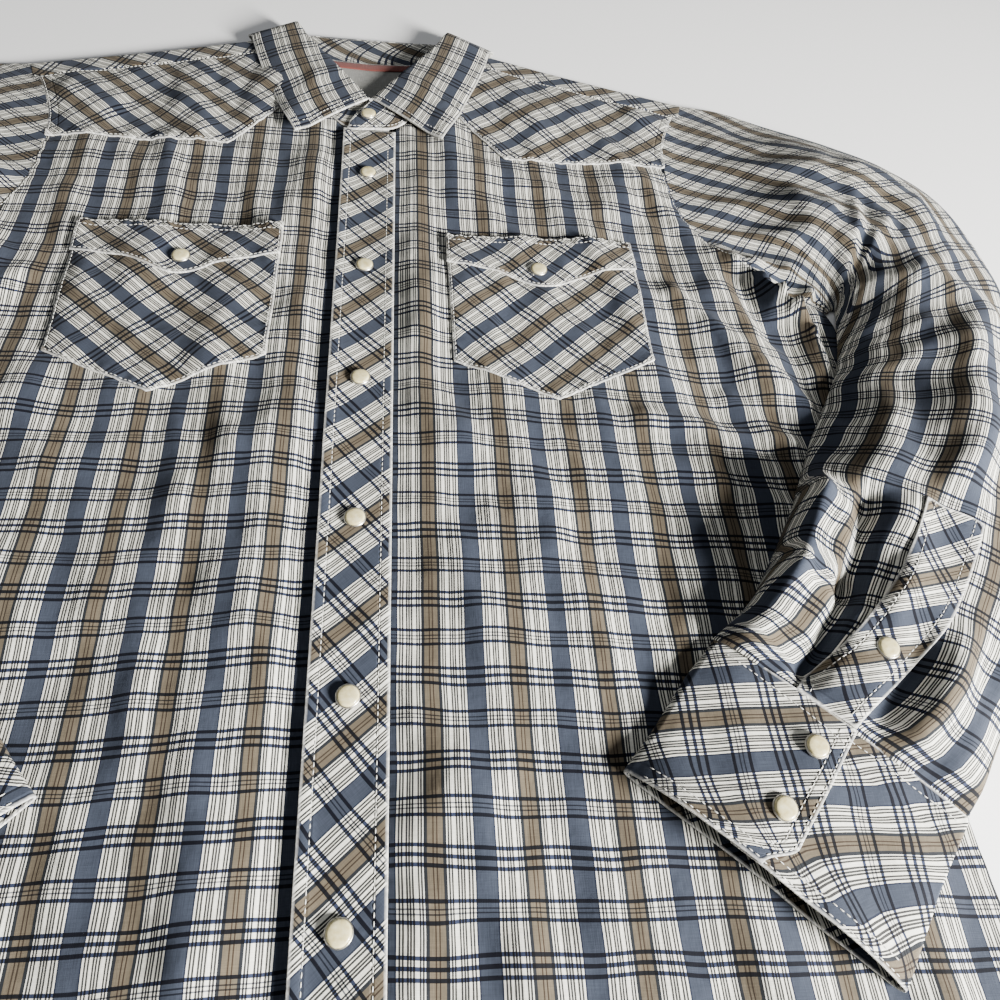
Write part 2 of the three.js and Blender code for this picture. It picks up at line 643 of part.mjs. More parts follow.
const standTop = (x) => mix(FRONT_STAND_TOP_Z, SIDE_STAND_TOP_Z, smoothstep(0, 50, x));
function standEdges({ seamX, seamY, topX, topY, side }) {
  const frontSeam = frontHeight(seamX, seamY) + LAYER;
  const frontTop = standTop(topX);
  const backZ = LAYER + WALL / 2;
  const seamZ = { front: frontSeam, fold: (frontSeam + backZ) / 2, back: backZ }[side];
  const topZ = { front: frontTop, fold: (frontTop + backZ) / 2, back: backZ }[side];
  return [new THREE.Vector3(seamX, seamY, seamZ), new THREE.Vector3(topX, topY, topZ)];
}

function addStand() {
  const half = ringRows(STAND_STATIONS, standEdges, 17).map((row) => across(row, 2));
  const nearLap = (p) => smoothstep(30, 4, Math.abs(p.x)) * smoothstep(380, 350, p.y);
  const lapped = (row, lift) => row.map((p) => p.clone().setZ(p.z + lift * nearLap(p)));
  const over = half.map((row) => lapped(row, STAND_LAP));
  const under = half.map((row) => mirrorRow(lapped(row, -STAND_LAP)));
  const end = under[0].map((p) => new THREE.Vector3(p.x + STAND_UNDERLAP.x, p.y + STAND_UNDERLAP.y, p.z));
  const freeEnd = STAND_FREE_END.map((e) => {
    const seam = new THREE.Vector3(e.seamX, e.seamY, e.seamZ);
    return across([seam, new THREE.Vector3(e.topX, e.topY, e.topZ)], 2);
  });
  const rows = [...freeEnd, ...over, ...under.reverse().slice(1), end];
  addPiece("collar_stand", sheet(rows), MATERIALS.biasPlaid);
}

function collarEdges({ foldX, foldY, freeX, freeY, side }) {
  const frontFold = standTop(foldX) + COLLAR_OVER_STAND;
  const frontFree = frontHeight(freeX, freeY) + COLLAR_OVER_YOKE;
  const backZ = WALL / 2;
  const foldZ = { front: frontFold, fold: (frontFold + backZ) / 2, back: backZ }[side];
  const freeZ = { front: frontFree, fold: (frontFree + backZ) / 2, back: backZ }[side];
  return [new THREE.Vector3(foldX, foldY, foldZ), new THREE.Vector3(freeX, freeY, freeZ)];
}
function addCollar() {
  const left = ringRows(COLLAR_STATIONS, collarEdges, 18).map((row) => across(row, 3));
  const right = left.map(mirrorRow).reverse().slice(1);
  addPiece("collar", sheet([...left, ...right]), MATERIALS.plaid);
}

// Sleeves

const bodyTop = (x, y) => gridHeight(frontHeight, x, y) + WALL;

// The table, or the front of the body where the forearm lies on it
function underSleeve(side, x, y, length) {
  const edge = sideX(y);
  const overBody = smoothstep(edge + BODY_EDGE.outside, edge + BODY_EDGE.inside, x);
  const onBody = overBody * smoothstep(FOREARM.start, FOREARM.full, length);
  return onBody * (bodyTop(side * x, y) + RESTING_GAP);
}

// Points across the sleeve at a part of its length: plan position, lower and upper surface
function sleeveEdge(x, y) {
  const through = SLEEVE_SECTIONS.map((row) => new THREE.Vector3(row[x], row[y], row.swell));
  return new THREE.CatmullRomCurve3(through);
}
const INNER_EDGE = sleeveEdge("innerX", "innerY");
const OUTER_EDGE = sleeveEdge("outerX", "outerY");

function sleeveFolds(part, length) {
  return SLEEVE_FOLDS.reduce((sum, { start, end, centre, width, height }) => {
    const fadeIn = smoothstep(start, start + FOLD_FADE_IN, length);
    const fadeOut = smoothstep(end, end - FOLD_FADE_OUT, length);
    return sum + fadeIn * fadeOut * height * Math.exp(-(((part - centre) / width) ** 2));
  }, 0);
}

function sleeveSection(side, length) {
  const inner = INNER_EDGE.getPoint(length);
  const outer = OUTER_EDGE.getPoint(length);
  const bow = (1 - clamp01(length / ARMHOLE_BOW)) ** 2;
  const { reach, start, full, eased } = SLEEVE_TURN;
  const turn = reach * smoothstep(start, full, length) * smoothstep(1, eased, length);
  const lastSeam = ARMHOLE.length - 1;
  return SLEEVE_ACROSS.map((level) => {
    const part = level + turn * Math.sin(Math.PI * level);
    const nearest = Math.round(part * lastSeam);
    const seamPart = nearest / lastSeam;
    const t = mix(part, seamPart, bow);
    const [seamX, seamY] = ARMHOLE[nearest];
    const bowX = seamX - mix(ARMHOLE[0][0], ARMHOLE[lastSeam][0], seamPart);
    const bowY = seamY - mix(ARMHOLE[0][1], ARMHOLE[lastSeam][1], seamPart);
    const x = mix(inner.x, outer.x, t) + bow * bowX + GAP;
    const y = mix(inner.y, outer.y, t) + bow * bowY;
    const low = underSleeve(side, x, y, length);
    const arch = Math.sin(Math.PI * part);
    const free = low + FLAT_TUBE + inner.z * arch ** FULLNESS + sleeveFolds(part, length) * arch;
    const yokeLayer = LAYER * smoothstep(YOKE.level - 20, YOKE.level + 18, y);
    const atSeam = frontHeight(side * x, y) + WALL + yokeLayer;
    return { x, y, low, high: mix(free, atSeam, bow ** 2) };
  });
}

function sleeveRows(side) {
  return Array.from({ length: SLEEVE_STEPS + 1 }, (_, k) => sleeveSection(side, k / SLEEVE_STEPS));
}

function addSleeve(side, name) {
  const sections = sleeveRows(side).map((points) => {
    const width = Math.hypot(points.at(-1).x - points[0].x, points.at(-1).y - points[0].y);
    const along = (p, q, t) => ({ x: mix(p.x, q.x, t), y: mix(p.y, q.y, t) });
    const innerPoint = (p, k) => {
      if (k === 0) return { ...p, ...along(points[0], points.at(-1), WALL / width) };
      if (k === points.length - 1) return { ...p, ...along(points.at(-1), points[0], WALL / width) };
      return p;
    };
    const hollow = points.map(innerPoint);
    const loop = (row, lift) => [
      ...row.map((p) => new THREE.Vector3(side * p.x, p.y, p.low + lift)),
      ...row.map((p) => new THREE.Vector3(side * p.x, p.y, p.high - lift)).reverse(),
    ];
    return { outer: loop(points, 0), inner: loop(hollow, WALL) };
  });
  addPiece(name, tube(sections), MATERIALS.plaid);
}

// The gauntlet lies on the sleeve above the cuff's free end
function addGauntlet(side, name) {
  const rows = sleeveRows(side).slice(-GAUNTLET.steps - 1);
  const over = (p) => new THREE.Vector3(side * p.x, p.y, p.high + GAP + WALL / 2);
  const columns = (row) => row.slice(GAUNTLET.fromColumn, GAUNTLET.toColumn + 1);
  const strip = rows.map((row) => columns(row).map(over).reverse());
  addPiece(name, sheet(strip, () => UP), MATERIALS.biasPlaid);
}

// Cuffs: one band that starts at its free end on top, goes round both folds and ends beneath it
const WRIST = SLEEVE_SECTIONS[SLEEVE_SECTIONS.length - 1];
const cuffAcross = new THREE.Vector2(WRIST.outerX - WRIST.innerX, WRIST.outerY - WRIST.innerY).normalize();
const cuffDown = new THREE.Vector2(cuffAcross.y, -cuffAcross.x);

function cuffPlace(side, a, v) {
  const x = WRIST.innerX + cuffAcross.x * a + cuffDown.x * v;
  const y = WRIST.innerY + cuffAcross.y * a + cuffDown.y * v;
  return { x: side * x, y, low: bodyTop(side * x, y) + RESTING_GAP };
}
function cuffMouth(a, v) {
  const open = mix(CUFF_SEAM_MOUTH, CUFF_MOUTH, v / CUFF_HEIGHT);
  return 1 + open * Math.sin(Math.PI * clamp01(a / CUFF_WIDTH)) ** FULLNESS;
}
// Heights of the middle of each layer of the cuff
function cuffLayers(side, a, v) {
  const { low } = cuffPlace(side, a, v);
  const under = low + WALL + cuffMouth(a, v) + WALL / 2;
  return { bottom: low + WALL / 2, under, over: under + LAYER };
}
const CUFF_BEVEL_START = CUFF_HEIGHT - CUFF_BEVEL - CUFF_BEVEL_SPREAD;
function cuffRow(side, v) {
  const bevel = CUFF_BEVEL * smoothstep(CUFF_BEVEL_START, CUFF_HEIGHT, v);
  const row = [];
  const put = (a, z) => {
    const { x, y } = cuffPlace(side, a, v);
    row.push(new THREE.Vector3(x, y, z));
  };
  const layer = (name, from, to, steps) => {
    for (let k = 0; k <= steps; k++) {
      const a = mix(from, to, k / steps);
      put(a, cuffLayers(side, a, v)[name]);
    }
  };
  const turn = (edge, direction, fromZ, toZ) => {
    const radius = Math.abs(toZ - fromZ) / 2;
    for (const angle of [30, 90, 150]) {
      const t = (angle * Math.PI) / 180;
      put(edge + direction * radius * Math.sin(t), mix(fromZ, toZ, (1 - Math.cos(t)) / 2));
    }
  };
  const leftFold = CUFF_FOLD_INSET;
  const rightFold = CUFF_WIDTH - CUFF_FOLD_INSET;
  const left = cuffLayers(side, leftFold, v);
  const right = cuffLayers(side, rightFold, v);
  layer("over", CUFF_OVERLAP - bevel, leftFold, 6);
  turn(leftFold, -1, left.over, left.bottom);
  layer("bottom", leftFold, rightFold, 6);
  turn(rightFold, 1, right.bottom, right.under);
  layer("under", rightFold, CUFF_UNDERLAP, 7);
  return row;
}
function addCuff(side, name) {
  const places = [2 * GAP, 20, 40, CUFF_BEVEL_START, 66, CUFF_HEIGHT];
  addPiece(name, sheet(places.map((v) => cuffRow(side, v))), MATERIALS.biasPlaid);
}

// Pearl snap: a low rim with a domed cap
function snapGeometry() {
  const profile = [
    [0, 0],
    [SNAP_RADIUS, 0.3],
    [SNAP_RADIUS, 1.4],
    [SNAP_RADIUS * 0.7, 2.3],
    [0, SNAP_HEIGHT],
  ].map(([r, z]) => new THREE.Vector2(r, z));
  return new THREE.LatheGeometry(profile, SNAP_SIDES).rotateX(Math.PI / 2);
}
function addSnap(name, x, y, height) {
  const ring = Array.from({ length: SNAP_SIDES }, (_, k) => (k / SNAP_SIDES) * 2 * Math.PI);
  const rests = ring.map((t) => height(x + SNAP_RADIUS * Math.cos(t), y + SNAP_RADIUS * Math.sin(t)));
  const snap = addPiece(name, snapGeometry(), MATERIALS.pearl);
  snap.position.set(x, y, Math.max(height(x, y), ...rests) + GAP);
}

function addSnaps() {
  const placketTop = (x, y) => bodyTop(x, y) + LAYER;
  const flapTop = (x, y) => bodyTop(x, y) + 2 * LAYER;
  addSnap("snap_neck", NECK_SNAP.x, NECK_SNAP.y, () => NECK_SNAP.z - GAP);
  for (let k = 0; k < PLACKET_SNAPS; k++)
    addSnap("snap_front_" + (k + 1), 0, FIRST_SNAP_Y - k * SNAP_PITCH, placketTop);
  for (const [side, name] of [[1, "left"], [-1, "right"]]) {
    addSnap("snap_flap_" + name, side * FLAP.snapX, FLAP.snapY, flapTop);
    CUFF_SNAPS.forEach((v, k) => {
      const a = CUFF_OVERLAP - CUFF_SNAP_IN;
      const { x, y } = cuffPlace(side, a, v);
      const cuffTop = cuffLayers(side, a, v).over + WALL / 2 + SNAP_REST;
      addSnap("snap_cuff_" + name + "_" + (k + 1), x, y, () => cuffTop);
    });
    const strip = sleeveSection(side, GAUNTLET.snapAt).slice(GAUNTLET.fromColumn, GAUNTLET.toColumn + 1);
    const highest = Math.max(...strip.map((p) => p.high));
    addSnap("snap_gauntlet_" + name, side * strip[1].x, strip[1].y, () => highest + LAYER + GAP);
  }
}

addBack();
addBackYoke();
addNeckLining();
addFronts();
addYokes();
addPlacket();
addPockets();
addStand();
addCollar();
for (const [side, name] of [[1, "left"], [-1, "right"]]) {
  addSleeve(side, "sleeve_" + name);
  addCuff(side, "cuff_" + name);
  addGauntlet(side, "gauntlet_" + name);
}
addSnaps();

export default shirt;
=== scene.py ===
# %% [markdown]
# # A western snap shirt, laid on its back
# The shirt is cotton plaid with pointed yokes, a bias placket, two pockets with scalloped flaps,
# pearl snaps and bevelled cuffs. It lies on a pale table with both sleeves folded over the front.
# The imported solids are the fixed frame. Each cloth piece is made again here as a thin shell with
# finer creases, and takes the place of its solid.

# %% The frame and the tools
import math
import bpy
import numpy as np
from mathutils import Matrix, Vector
from mathutils.geometry import delaunay_2d_cdt
from mathutils.noise import noise as lumps


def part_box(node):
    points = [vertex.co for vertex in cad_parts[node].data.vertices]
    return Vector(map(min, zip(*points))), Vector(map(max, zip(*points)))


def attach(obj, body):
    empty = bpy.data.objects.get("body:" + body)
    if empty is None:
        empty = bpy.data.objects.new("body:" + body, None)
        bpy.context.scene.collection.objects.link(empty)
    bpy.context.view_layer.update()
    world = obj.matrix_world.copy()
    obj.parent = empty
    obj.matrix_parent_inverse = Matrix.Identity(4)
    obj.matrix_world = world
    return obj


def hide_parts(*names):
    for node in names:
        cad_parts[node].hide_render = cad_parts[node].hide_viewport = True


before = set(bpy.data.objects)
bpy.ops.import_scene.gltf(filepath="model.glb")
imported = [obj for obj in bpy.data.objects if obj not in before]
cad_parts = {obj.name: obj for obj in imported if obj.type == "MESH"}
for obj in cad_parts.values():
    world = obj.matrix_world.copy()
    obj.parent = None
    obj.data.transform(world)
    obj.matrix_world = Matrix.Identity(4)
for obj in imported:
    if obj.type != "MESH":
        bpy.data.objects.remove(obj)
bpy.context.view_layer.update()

MM = 0.001

# %% [markdown]
# ## Where the photographer stood
# The camera hangs about a third of a metre above the lower front and looks up the shirt to its
# collar, a little turned and tilted. These values were found by matching the snaps, pockets and
# seams of the real shirt, so that every piece can be placed by its real size.

# %% Camera
FOCAL_IN_FRAMES = 0.791
CAMERA_DOWN = math.radians(57.0)
CAMERA_TURN = math.radians(-13.17)
CAMERA_ROLL = math.radians(-11.25)
EYE = Vector((22.0, -205.0, 336.0)) * MM

ahead = Vector((0, math.cos(CAMERA_DOWN), -math.sin(CAMERA_DOWN)))
below = Vector((0, -math.sin(CAMERA_DOWN), -math.cos(CAMERA_DOWN)))
beside = Vector((1, 0, 0))
rolled_beside = beside * math.cos(CAMERA_ROLL) + below * math.sin(CAMERA_ROLL)
rolled_below = below * math.cos(CAMERA_ROLL) - beside * math.sin(CAMERA_ROLL)
turn = Matrix.Rotation(CAMERA_TURN, 3, "Z")
axes = [turn @ rolled_beside, turn @ -rolled_below, turn @ -ahead]

lens = bpy.data.cameras.new("camera")
lens.sensor_width = 36.0
lens.lens = lens.sensor_width * FOCAL_IN_FRAMES
lens.clip_start = 0.01
camera = bpy.data.objects.new("camera", lens)
bpy.context.scene.collection.objects.link(camera)
camera.matrix_world = Matrix.Translation(EYE) @ Matrix(axes).transposed().to_4x4()
bpy.context.scene.camera = camera
print("camera at", [round(v, 3) for v in EYE], "lens", round(lens.lens, 2), "mm")

# %% [markdown]
# ## Table and studio light
# A large soft light stands to the wearer's left, near the shirt tail, because the shadows beside
# the placket and the folded sleeve fall towards the wearer's right. A weak light from above fills
# them, and the table is plain and pale.

# %% Table and lights
def plain_material(name, color, roughness):
    material = bpy.data.materials.new(name)
    material.use_nodes = True
    surface = material.node_tree.nodes["Principled BSDF"]
    surface.inputs["Base Color"].default_value = (*color, 1)
    surface.inputs["Roughness"].default_value = roughness
    return material


def soft_light(name, place, aim, size, watts, color):
    data = bpy.data.lights.new(name, "AREA")
    data.shape = "DISK"
    data.size = size
    data.energy = watts
    data.color = color
    lamp = bpy.data.objects.new(name, data)
    bpy.context.scene.collection.objects.link(lamp)
    lamp.location = place
    lamp.rotation_euler = (Vector(aim) - Vector(place)).to_track_quat("-Z", "Y").to_euler()
    return lamp


TABLE_COLOR = (0.93, 0.93, 0.925)
TABLE_DROP = 0.0002
bpy.ops.object.select_all(action="DESELECT")
bpy.ops.mesh.primitive_plane_add(size=14, location=(0, 0, -TABLE_DROP))
table = bpy.context.object
table.name = "table"
table.data.materials.append(plain_material("table_paint", TABLE_COLOR, 0.7))
soft_light("key", (1.1, -0.82, 0.5), (0.05, -0.05, 0), 0.42, 158, (1.0, 0.985, 0.955))
soft_light("fill", (-0.7, 0.5, 1.9), (0, 0.05, 0), 2.2, 6, (0.93, 0.96, 1.0))
world = bpy.data.worlds.new("room")
world.use_nodes = True
world.node_tree.nodes["Background"].inputs["Color"].default_value = (0.95, 0.97, 1, 1)
world.node_tree.nodes["Background"].inputs["Strength"].default_value = 0.16
bpy.context.scene.world = world
print("table, two lights and a pale room")

# %% [markdown]
# ## Sizes of the shirt
# All the tables are in millimetres and say what the pattern maker would: where each seam and edge
# lies. They repeat the sizes of the solids, because every piece has to lie where its solid is.

# %% Sizes
WALL = 1.2
LAYER = 1.5
CLOTH = 1.0
RESTING_GAP = 0.8
HALF_CHEST = 286
ARMPIT_Y = 146
HALF_WAIST = 260
WAIST_Y = -60
HALF_HEM = 266
SIDE_HEM_Y = -318
CENTRE_HEM_Y = -392
HEM_FLAT_HALF = 110
SIDE_FADE = 30
SHOULDER_FADE = 45
PLACKET_HALF = 17.5
FRONT_OVERLAP_X = 15.6
FIRST_SNAP_Y = 258
SNAP_PITCH = 88
PLACKET_SNAPS = 7
POCKET = {"inner": 49, "outer": 168, "top": 201, "side": 97, "foot": 70}
FLAP = {"side": 174, "dip": 168, "point": 157, "snap_x": 105.5, "snap_y": 171}
YOKE = {"corner_x": 92, "level": 282, "neck_x": 47, "neck_y": 343, "lap": 10}
NECK_FRONT_Y = 303
SHOULDER_NECK = (69, 414)
SHOULDER_TIP = (233, 362)
SHOULDER_SEAM = 17
SHOULDER_SLOPE = (SHOULDER_NECK[1] - SHOULDER_TIP[1]) / (SHOULDER_TIP[0] - SHOULDER_NECK[0])
BACK_YOKE_LEVEL = 285
BACK_YOKE_POINT = 262
print("chest", 2 * HALF_CHEST, "mm, length", SHOULDER_NECK[1] - CENTRE_HEM_Y, "mm")


# %% Curves and steps
def smooth_step(start, end, value):
    t = np.clip((np.asarray(value, float) - start) / (end - start), 0, 1)
    return t * t * (3 - 2 * t)


def mix(a, b, t):
    return a + (b - a) * t


def spline_at(points, t):
    """A smooth curve through the points, at t from 0 to 1."""
    p = np.asarray(points, float)
    last = len(p) - 1
    i = min(int(t * last), last - 1)
    w = t * last - i
    before = p[i - 1] if i > 0 else 2 * p[0] - p[1]
    after = p[i + 2] if i + 2 <= last else 2 * p[-1] - p[-2]
    a, b = p[i], p[i + 1]
    gap = [max(np.linalg.norm(q - r) ** 0.5, 1e-4) for q, r in ((a, before), (b, a), (after, b))]
    slope_a = (a - before) / gap[0] - (b - before) / (gap[0] + gap[1]) + (b - a) / gap[1]
    slope_b = (b - a) / gap[1] - (after - a) / (gap[1] + gap[2]) + (after - b) / gap[2]
    slope_a = slope_a * gap[1]
    slope_b = slope_b * gap[1]
    square = -3 * a + 3 * b - 2 * slope_a - slope_b
    cube = 2 * a - 2 * b + slope_a + slope_b
    return a + slope_a * w + square * w * w + cube * w ** 3


def spline(points, steps):
    return np.array([spline_at(points, k / steps) for k in range(steps + 1)])


def mirrored(points):
    return [(-x, y) for x, y in points][::-1]


# %% [markdown]
# ## How the cloth lies
# Cloth that is laid out keeps a few large soft folds, and each sewn seam draws it up into small
# puckers. The large folds are ridges between two points. The puckers ripple along a seam and die
# out beside it. Every layer of the front follows the same height, so no layer cuts another.

# %% Soft folds, charted
# x0, y0, x1, y1, height, width
FOLDS = [
    (216, 158, 252, 92, 4.4, 15),
    (186, 150, 226, 76, 3.2, 16),
    (236, 182, 256, 140, 6.5, 13),
    (274, 140, 272, 92, 8.5, 12),
    (150, 66, 206, 8, 2.2, 24),
    (60, 44, 150, 20, 1.8, 26),
    (40, -40, 120, -62, 1.8, 28),
    (34, -150, 74, -300, 2.4, 30),
    (150, -240, 176, -350, 3.0, 32),
    (30, 240, 36, 120, 1.6, 20),
    (-34, 250, -30, 60, 3.0, 19),
    (-44, 40, -36, -150, 2.4, 22),
    (-70, -60, -150, -40, 1.8, 28),
    (-60, -170, -92, -330, 3.0, 30),
    (-160, -230, -190, -340, 2.8, 30),
    (-212, 168, -250, 100, 4.2, 16),
    (-272, 138, -270, 96, 7.5, 13),
    (-180, 60, -228, 10, 2.4, 24),
    (-230, 238, -258, 182, 4.6, 15),
]
CREASES = [
    (188, 156, 250, 70, 3.4, 7),
    (204, 128, 236, 60, 1.8, 6),
    (31, 290, 33, 90, 2.0, 8),
    (84, 272, 150, 236, 2.0, 9),
    (112, 276, 176, 250, 1.4, 7),
    (186, 268, 202, 222, 2.4, 7),
    (200, 40, 256, 2, 2.8, 9),
    (170, 24, 238, -12, 1.8, 8),
    (60, -60, 68, -190, 1.4, 13),
    (112, -84, 120, -204, 1.3, 13),
    (24, 60, 60, 40, 1.2, 9),
    (90, 10, 150, -6, 1.3, 10),
    (-62, 40, -58, -190, 1.8, 9),
    (-88, 60, -80, -180, 1.6, 10),
    (-45, 130, -47, -60, 1.6, 8),
    (-128, 285, -118, 215, 2.8, 9),
    (-72, 262, -66, 222, 1.6, 8),
    (-188, 156, -246, 72, 3.0, 8),
    (-200, 40, -250, 0, 2.4, 9),
    (-120, -120, -132, -260, 1.8, 14),
    (226, 196, 247, 176, 2.5, 7),
    (246, 168, 253, 151, 7.0, 3.6),
    (253, 151, 262, 141, 7.0, 3.4),
    (262, 141, 271, 124, 7.5, 3.2),
    (271, 124, 273, 90, 7.0, 3.2),
    (248, 184, 268, 176, 8.0, 5.0),
    (268, 176, 279, 160, 8.0, 4.5),
    (279, 160, 283, 118, 7.0, 3.6),
    (263, 158, 268, 148, -16.0, 6.0),
    (274, 140, 279, 112, -8.0, 4.0),
    (236, 168, 242, 120, -5.0, 9),
    (252, 128, 258, 84, -4.0, 9),
    (228, 92, 262, 40, 3.6, 8),
    (206, 72, 246, 22, 3.0, 8),
    (150, 58, 232, 42, 2.6, 7),
    (-226, 196, -247, 176, 2.5, 7),
    (-250, 160, -272, 140, 4.0, 6),
]
NECK_RISE = {"y": 372, "height": 6, "reach_x": 95, "reach_y": 75}


def ridges(x, y, table):
    total = np.zeros(np.shape(x))
    for x0, y0, x1, y1, height, width in table:
        dx, dy = x1 - x0, y1 - y0
        near = np.clip(((x - x0) * dx + (y - y0) * dy) / (dx * dx + dy * dy), 0, 1)
        away = np.hypot(x - x0 - near * dx, y - y0 - near * dy)
        total += height * np.exp(-((away / width) ** 2))
    return total


def side_x(y):
    chest = (HALF_CHEST - HALF_WAIST) * smooth_step(WAIST_Y, ARMPIT_Y - 20, y)
    tail = (HALF_HEM - HALF_WAIST) * smooth_step(WAIST_Y, SIDE_HEM_Y, y)
    return HALF_WAIST + chest + tail


def along_line(x, y, line):
    """Distance from a line of points, and how far along it the nearest place is."""
    line = np.asarray(line, float)
    nearest = np.full(x.shape, 1e9)
    place = np.zeros(x.shape)
    start = 0.0
    for (x0, y0), (x1, y1) in zip(line[:-1], line[1:]):
        length = math.hypot(x1 - x0, y1 - y0)
        if length < 1e-6:
            continue
        t = np.clip(((x - x0) * (x1 - x0) + (y - y0) * (y1 - y0)) / length ** 2, 0, 1)
        away = np.hypot(x - mix(x0, x1, t), y - mix(y0, y1, t))
        closer = away < nearest
        nearest = np.where(closer, away, nearest)
        place = np.where(closer, start + t * length, place)
        start += length
    return nearest, place


def puckers(x, y, line, height, reach, pitch):
    away, place = along_line(x, y, line)
    wave = np.sin(2 * math.pi * place / pitch + 1.3 * np.sin(place / (2.3 * pitch)))
    slow = 0.65 + 0.35 * np.sin(place / (1.7 * pitch) + 1)
    return height * wave * slow * np.exp(-((away / reach) ** 2))


# %% Seams and outlines, on the wearer's left side
ARMHOLE = spline(
    [
        (HALF_CHEST, ARMPIT_Y),
        (263, 159),
        (241, 178),
        (220, 206),
        (209, 236),
        (206, 266),
        (208, 300),
        (219, 335),
        SHOULDER_TIP,
    ],
    48,
)
NECKLINE = spline(
    [
        (17, 306),
        (35, 327),
        (YOKE["neck_x"], YOKE["neck_y"]),
        (59, 372),
        (64.5, 392),
        (67, 408),
    ],
    16,
)
UNDERARM_SPREAD = 5


def spread_side(y):
    """The side seam, pulled out a little under the arm, where the sleeve is folded over it."""
    return float(side_x(y)) + UNDERARM_SPREAD * math.exp(-(((y - 126) / 16) ** 2))


SIDE = [(spread_side(y), y) for y in np.linspace(SIDE_HEM_Y, ARMPIT_Y, 37)]


def hem_y(x):
    rise = smooth_step(HEM_FLAT_HALF, HALF_HEM + 14, np.abs(x))
    return CENTRE_HEM_Y + (SIDE_HEM_Y - CENTRE_HEM_Y) * rise


def hem(from_x, to_x, steps):
    return [(float(x), float(hem_y(x))) for x in np.linspace(from_x, to_x, steps + 1)]


def armhole_at(y):
    k = next(i for i, p in enumerate(ARMHOLE) if p[1] >= y)
    t = (y - ARMHOLE[k - 1][1]) / (ARMHOLE[k][1] - ARMHOLE[k - 1][1])
    return (float(mix(ARMHOLE[k - 1][0], ARMHOLE[k][0], t)), y)


def armhole_between(low, high):
    return [tuple(p) for p in ARMHOLE if low + 1 < p[1] < high - 1]


def from_shoulder(point, distance):
    length = math.hypot(1, SHOULDER_SLOPE)
    return (
        point[0] - SHOULDER_SLOPE / length * distance,
        point[1] - distance / length,
    )


SEAM_NECK = from_shoulder(SHOULDER_NECK, SHOULDER_SEAM)
SEAM_TIP = from_shoulder(SHOULDER_TIP, SHOULDER_SEAM)
YOKE_EDGE = [
    (YOKE["neck_x"], YOKE["neck_y"]),
    (YOKE["corner_x"], YOKE["level"]),
    armhole_at(YOKE["level"]),
]
POCKET_MIDDLE = (POCKET["inner"] + POCKET["outer"]) / 2
POCKET_EDGE = [
    (POCKET["inner"], POCKET["top"]),
    (POCKET["inner"] + 2, POCKET["side"]),
    (POCKET_MIDDLE, POCKET["foot"]),
    (POCKET["outer"] - 2, POCKET["side"]),
    (POCKET["outer"], POCKET["top"]),
]
FLAP_TOP = [(POCKET["inner"], POCKET["top"]), (POCKET["outer"], POCKET["top"])]
quarter = (POCKET["outer"] - POCKET["inner"]) / 4
FLAP_EDGE = [
    tuple(p)
    for p in spline(
        [
            (POCKET["inner"], FLAP["side"]),
            (POCKET_MIDDLE - quarter, FLAP["dip"]),
            (POCKET_MIDDLE, FLAP["point"]),
            (POCKET_MIDDLE + quarter, FLAP["dip"]),
            (POCKET["outer"], FLAP["side"]),
        ],
        32,
    )
]
PLACKET_EDGE = [(PLACKET_HALF, NECK_FRONT_Y), (PLACKET_HALF, CENTRE_HEM_Y)]
# line, height, reach, pitch
PUCKERED_SEAMS = [
    (YOKE_EDGE, 0.55, 9, 9),
    (POCKET_EDGE, 0.4, 6, 8),
    (FLAP_TOP, 0.7, 7, 8),
    (PLACKET_EDGE, 0.45, 8, 12),
    (ARMHOLE, 0.7, 10, 13),
    (SIDE, 0.4, 8, 14),
]


# %% Height of the front
def front_height(x, y):
    """Underside of the fronts above the table, as the solids have it."""
    away_x = (x / NECK_RISE["reach_x"]) ** 2
    away_y = ((y - NECK_RISE["y"]) / NECK_RISE["reach_y"]) ** 2
    rise = NECK_RISE["height"] * np.exp(-away_x - away_y)
    return LAYER + rise + ridges(x, y, FOLDS) * fold_fade(x, y)


def fold_fade(x, y):
    out = np.abs(x)
    side = np.where(y < ARMPIT_Y + 10, smooth_step(0, SIDE_FADE, side_x(y) - out), 1)
    below_shoulder = SHOULDER_NECK[1] - SHOULDER_SLOPE * (out - SHOULDER_NECK[0]) - y
    return side * smooth_step(0, SHOULDER_FADE, below_shoulder)


def undulation(x, y):
    """Uneven swells of the laid cloth, longer down the shirt than across it."""
    flat = zip(np.ravel(x), np.ravel(y))
    both = [
        (lumps(Vector((a / 34 + b / 160, b / 62, 7))), lumps(Vector((a / 15, b / 24 + a / 60, 2))))
        for a, b in flat
    ]
    wide, small = np.array(both).T.reshape(2, *np.shape(x))
    return 4.4 * np.clip(wide + 0.25, 0, 1) + 1.9 * np.clip(small + 0.2, 0, 1)


SNAP_PLACES = [(0, FIRST_SNAP_Y - k * SNAP_PITCH) for k in range(PLACKET_SNAPS)]
SNAP_PLACES += [(FLAP["snap_x"], FLAP["snap_y"]), (-FLAP["snap_x"], FLAP["snap_y"])]


def held_down(x, y):
    """0 where a snap holds the layers down, low on the stiff placket, and 1 on free cloth."""
    free = 1 - 0.72 * smooth_step(30, 17, np.abs(x))
    for snap_x, snap_y in SNAP_PLACES:
        away = np.hypot(x - snap_x, y - snap_y)
        free = free * smooth_step(6.5, 20, away)
    return free


def front_relief(x, y):
    """The finer creases and the puckers at the seams."""
    total = (ridges(x, y, CREASES) + undulation(x, y)) * fold_fade(x, y)
    for line, height, reach, pitch in PUCKERED_SEAMS:
        total = total + puckers(np.abs(x), y, line, height, reach, pitch)
    beside_placket = -2.2 * np.exp(-(((x + 24) / 5) ** 2)) * (y < NECK_FRONT_Y)
    return total * held_down(x, y) + beside_placket


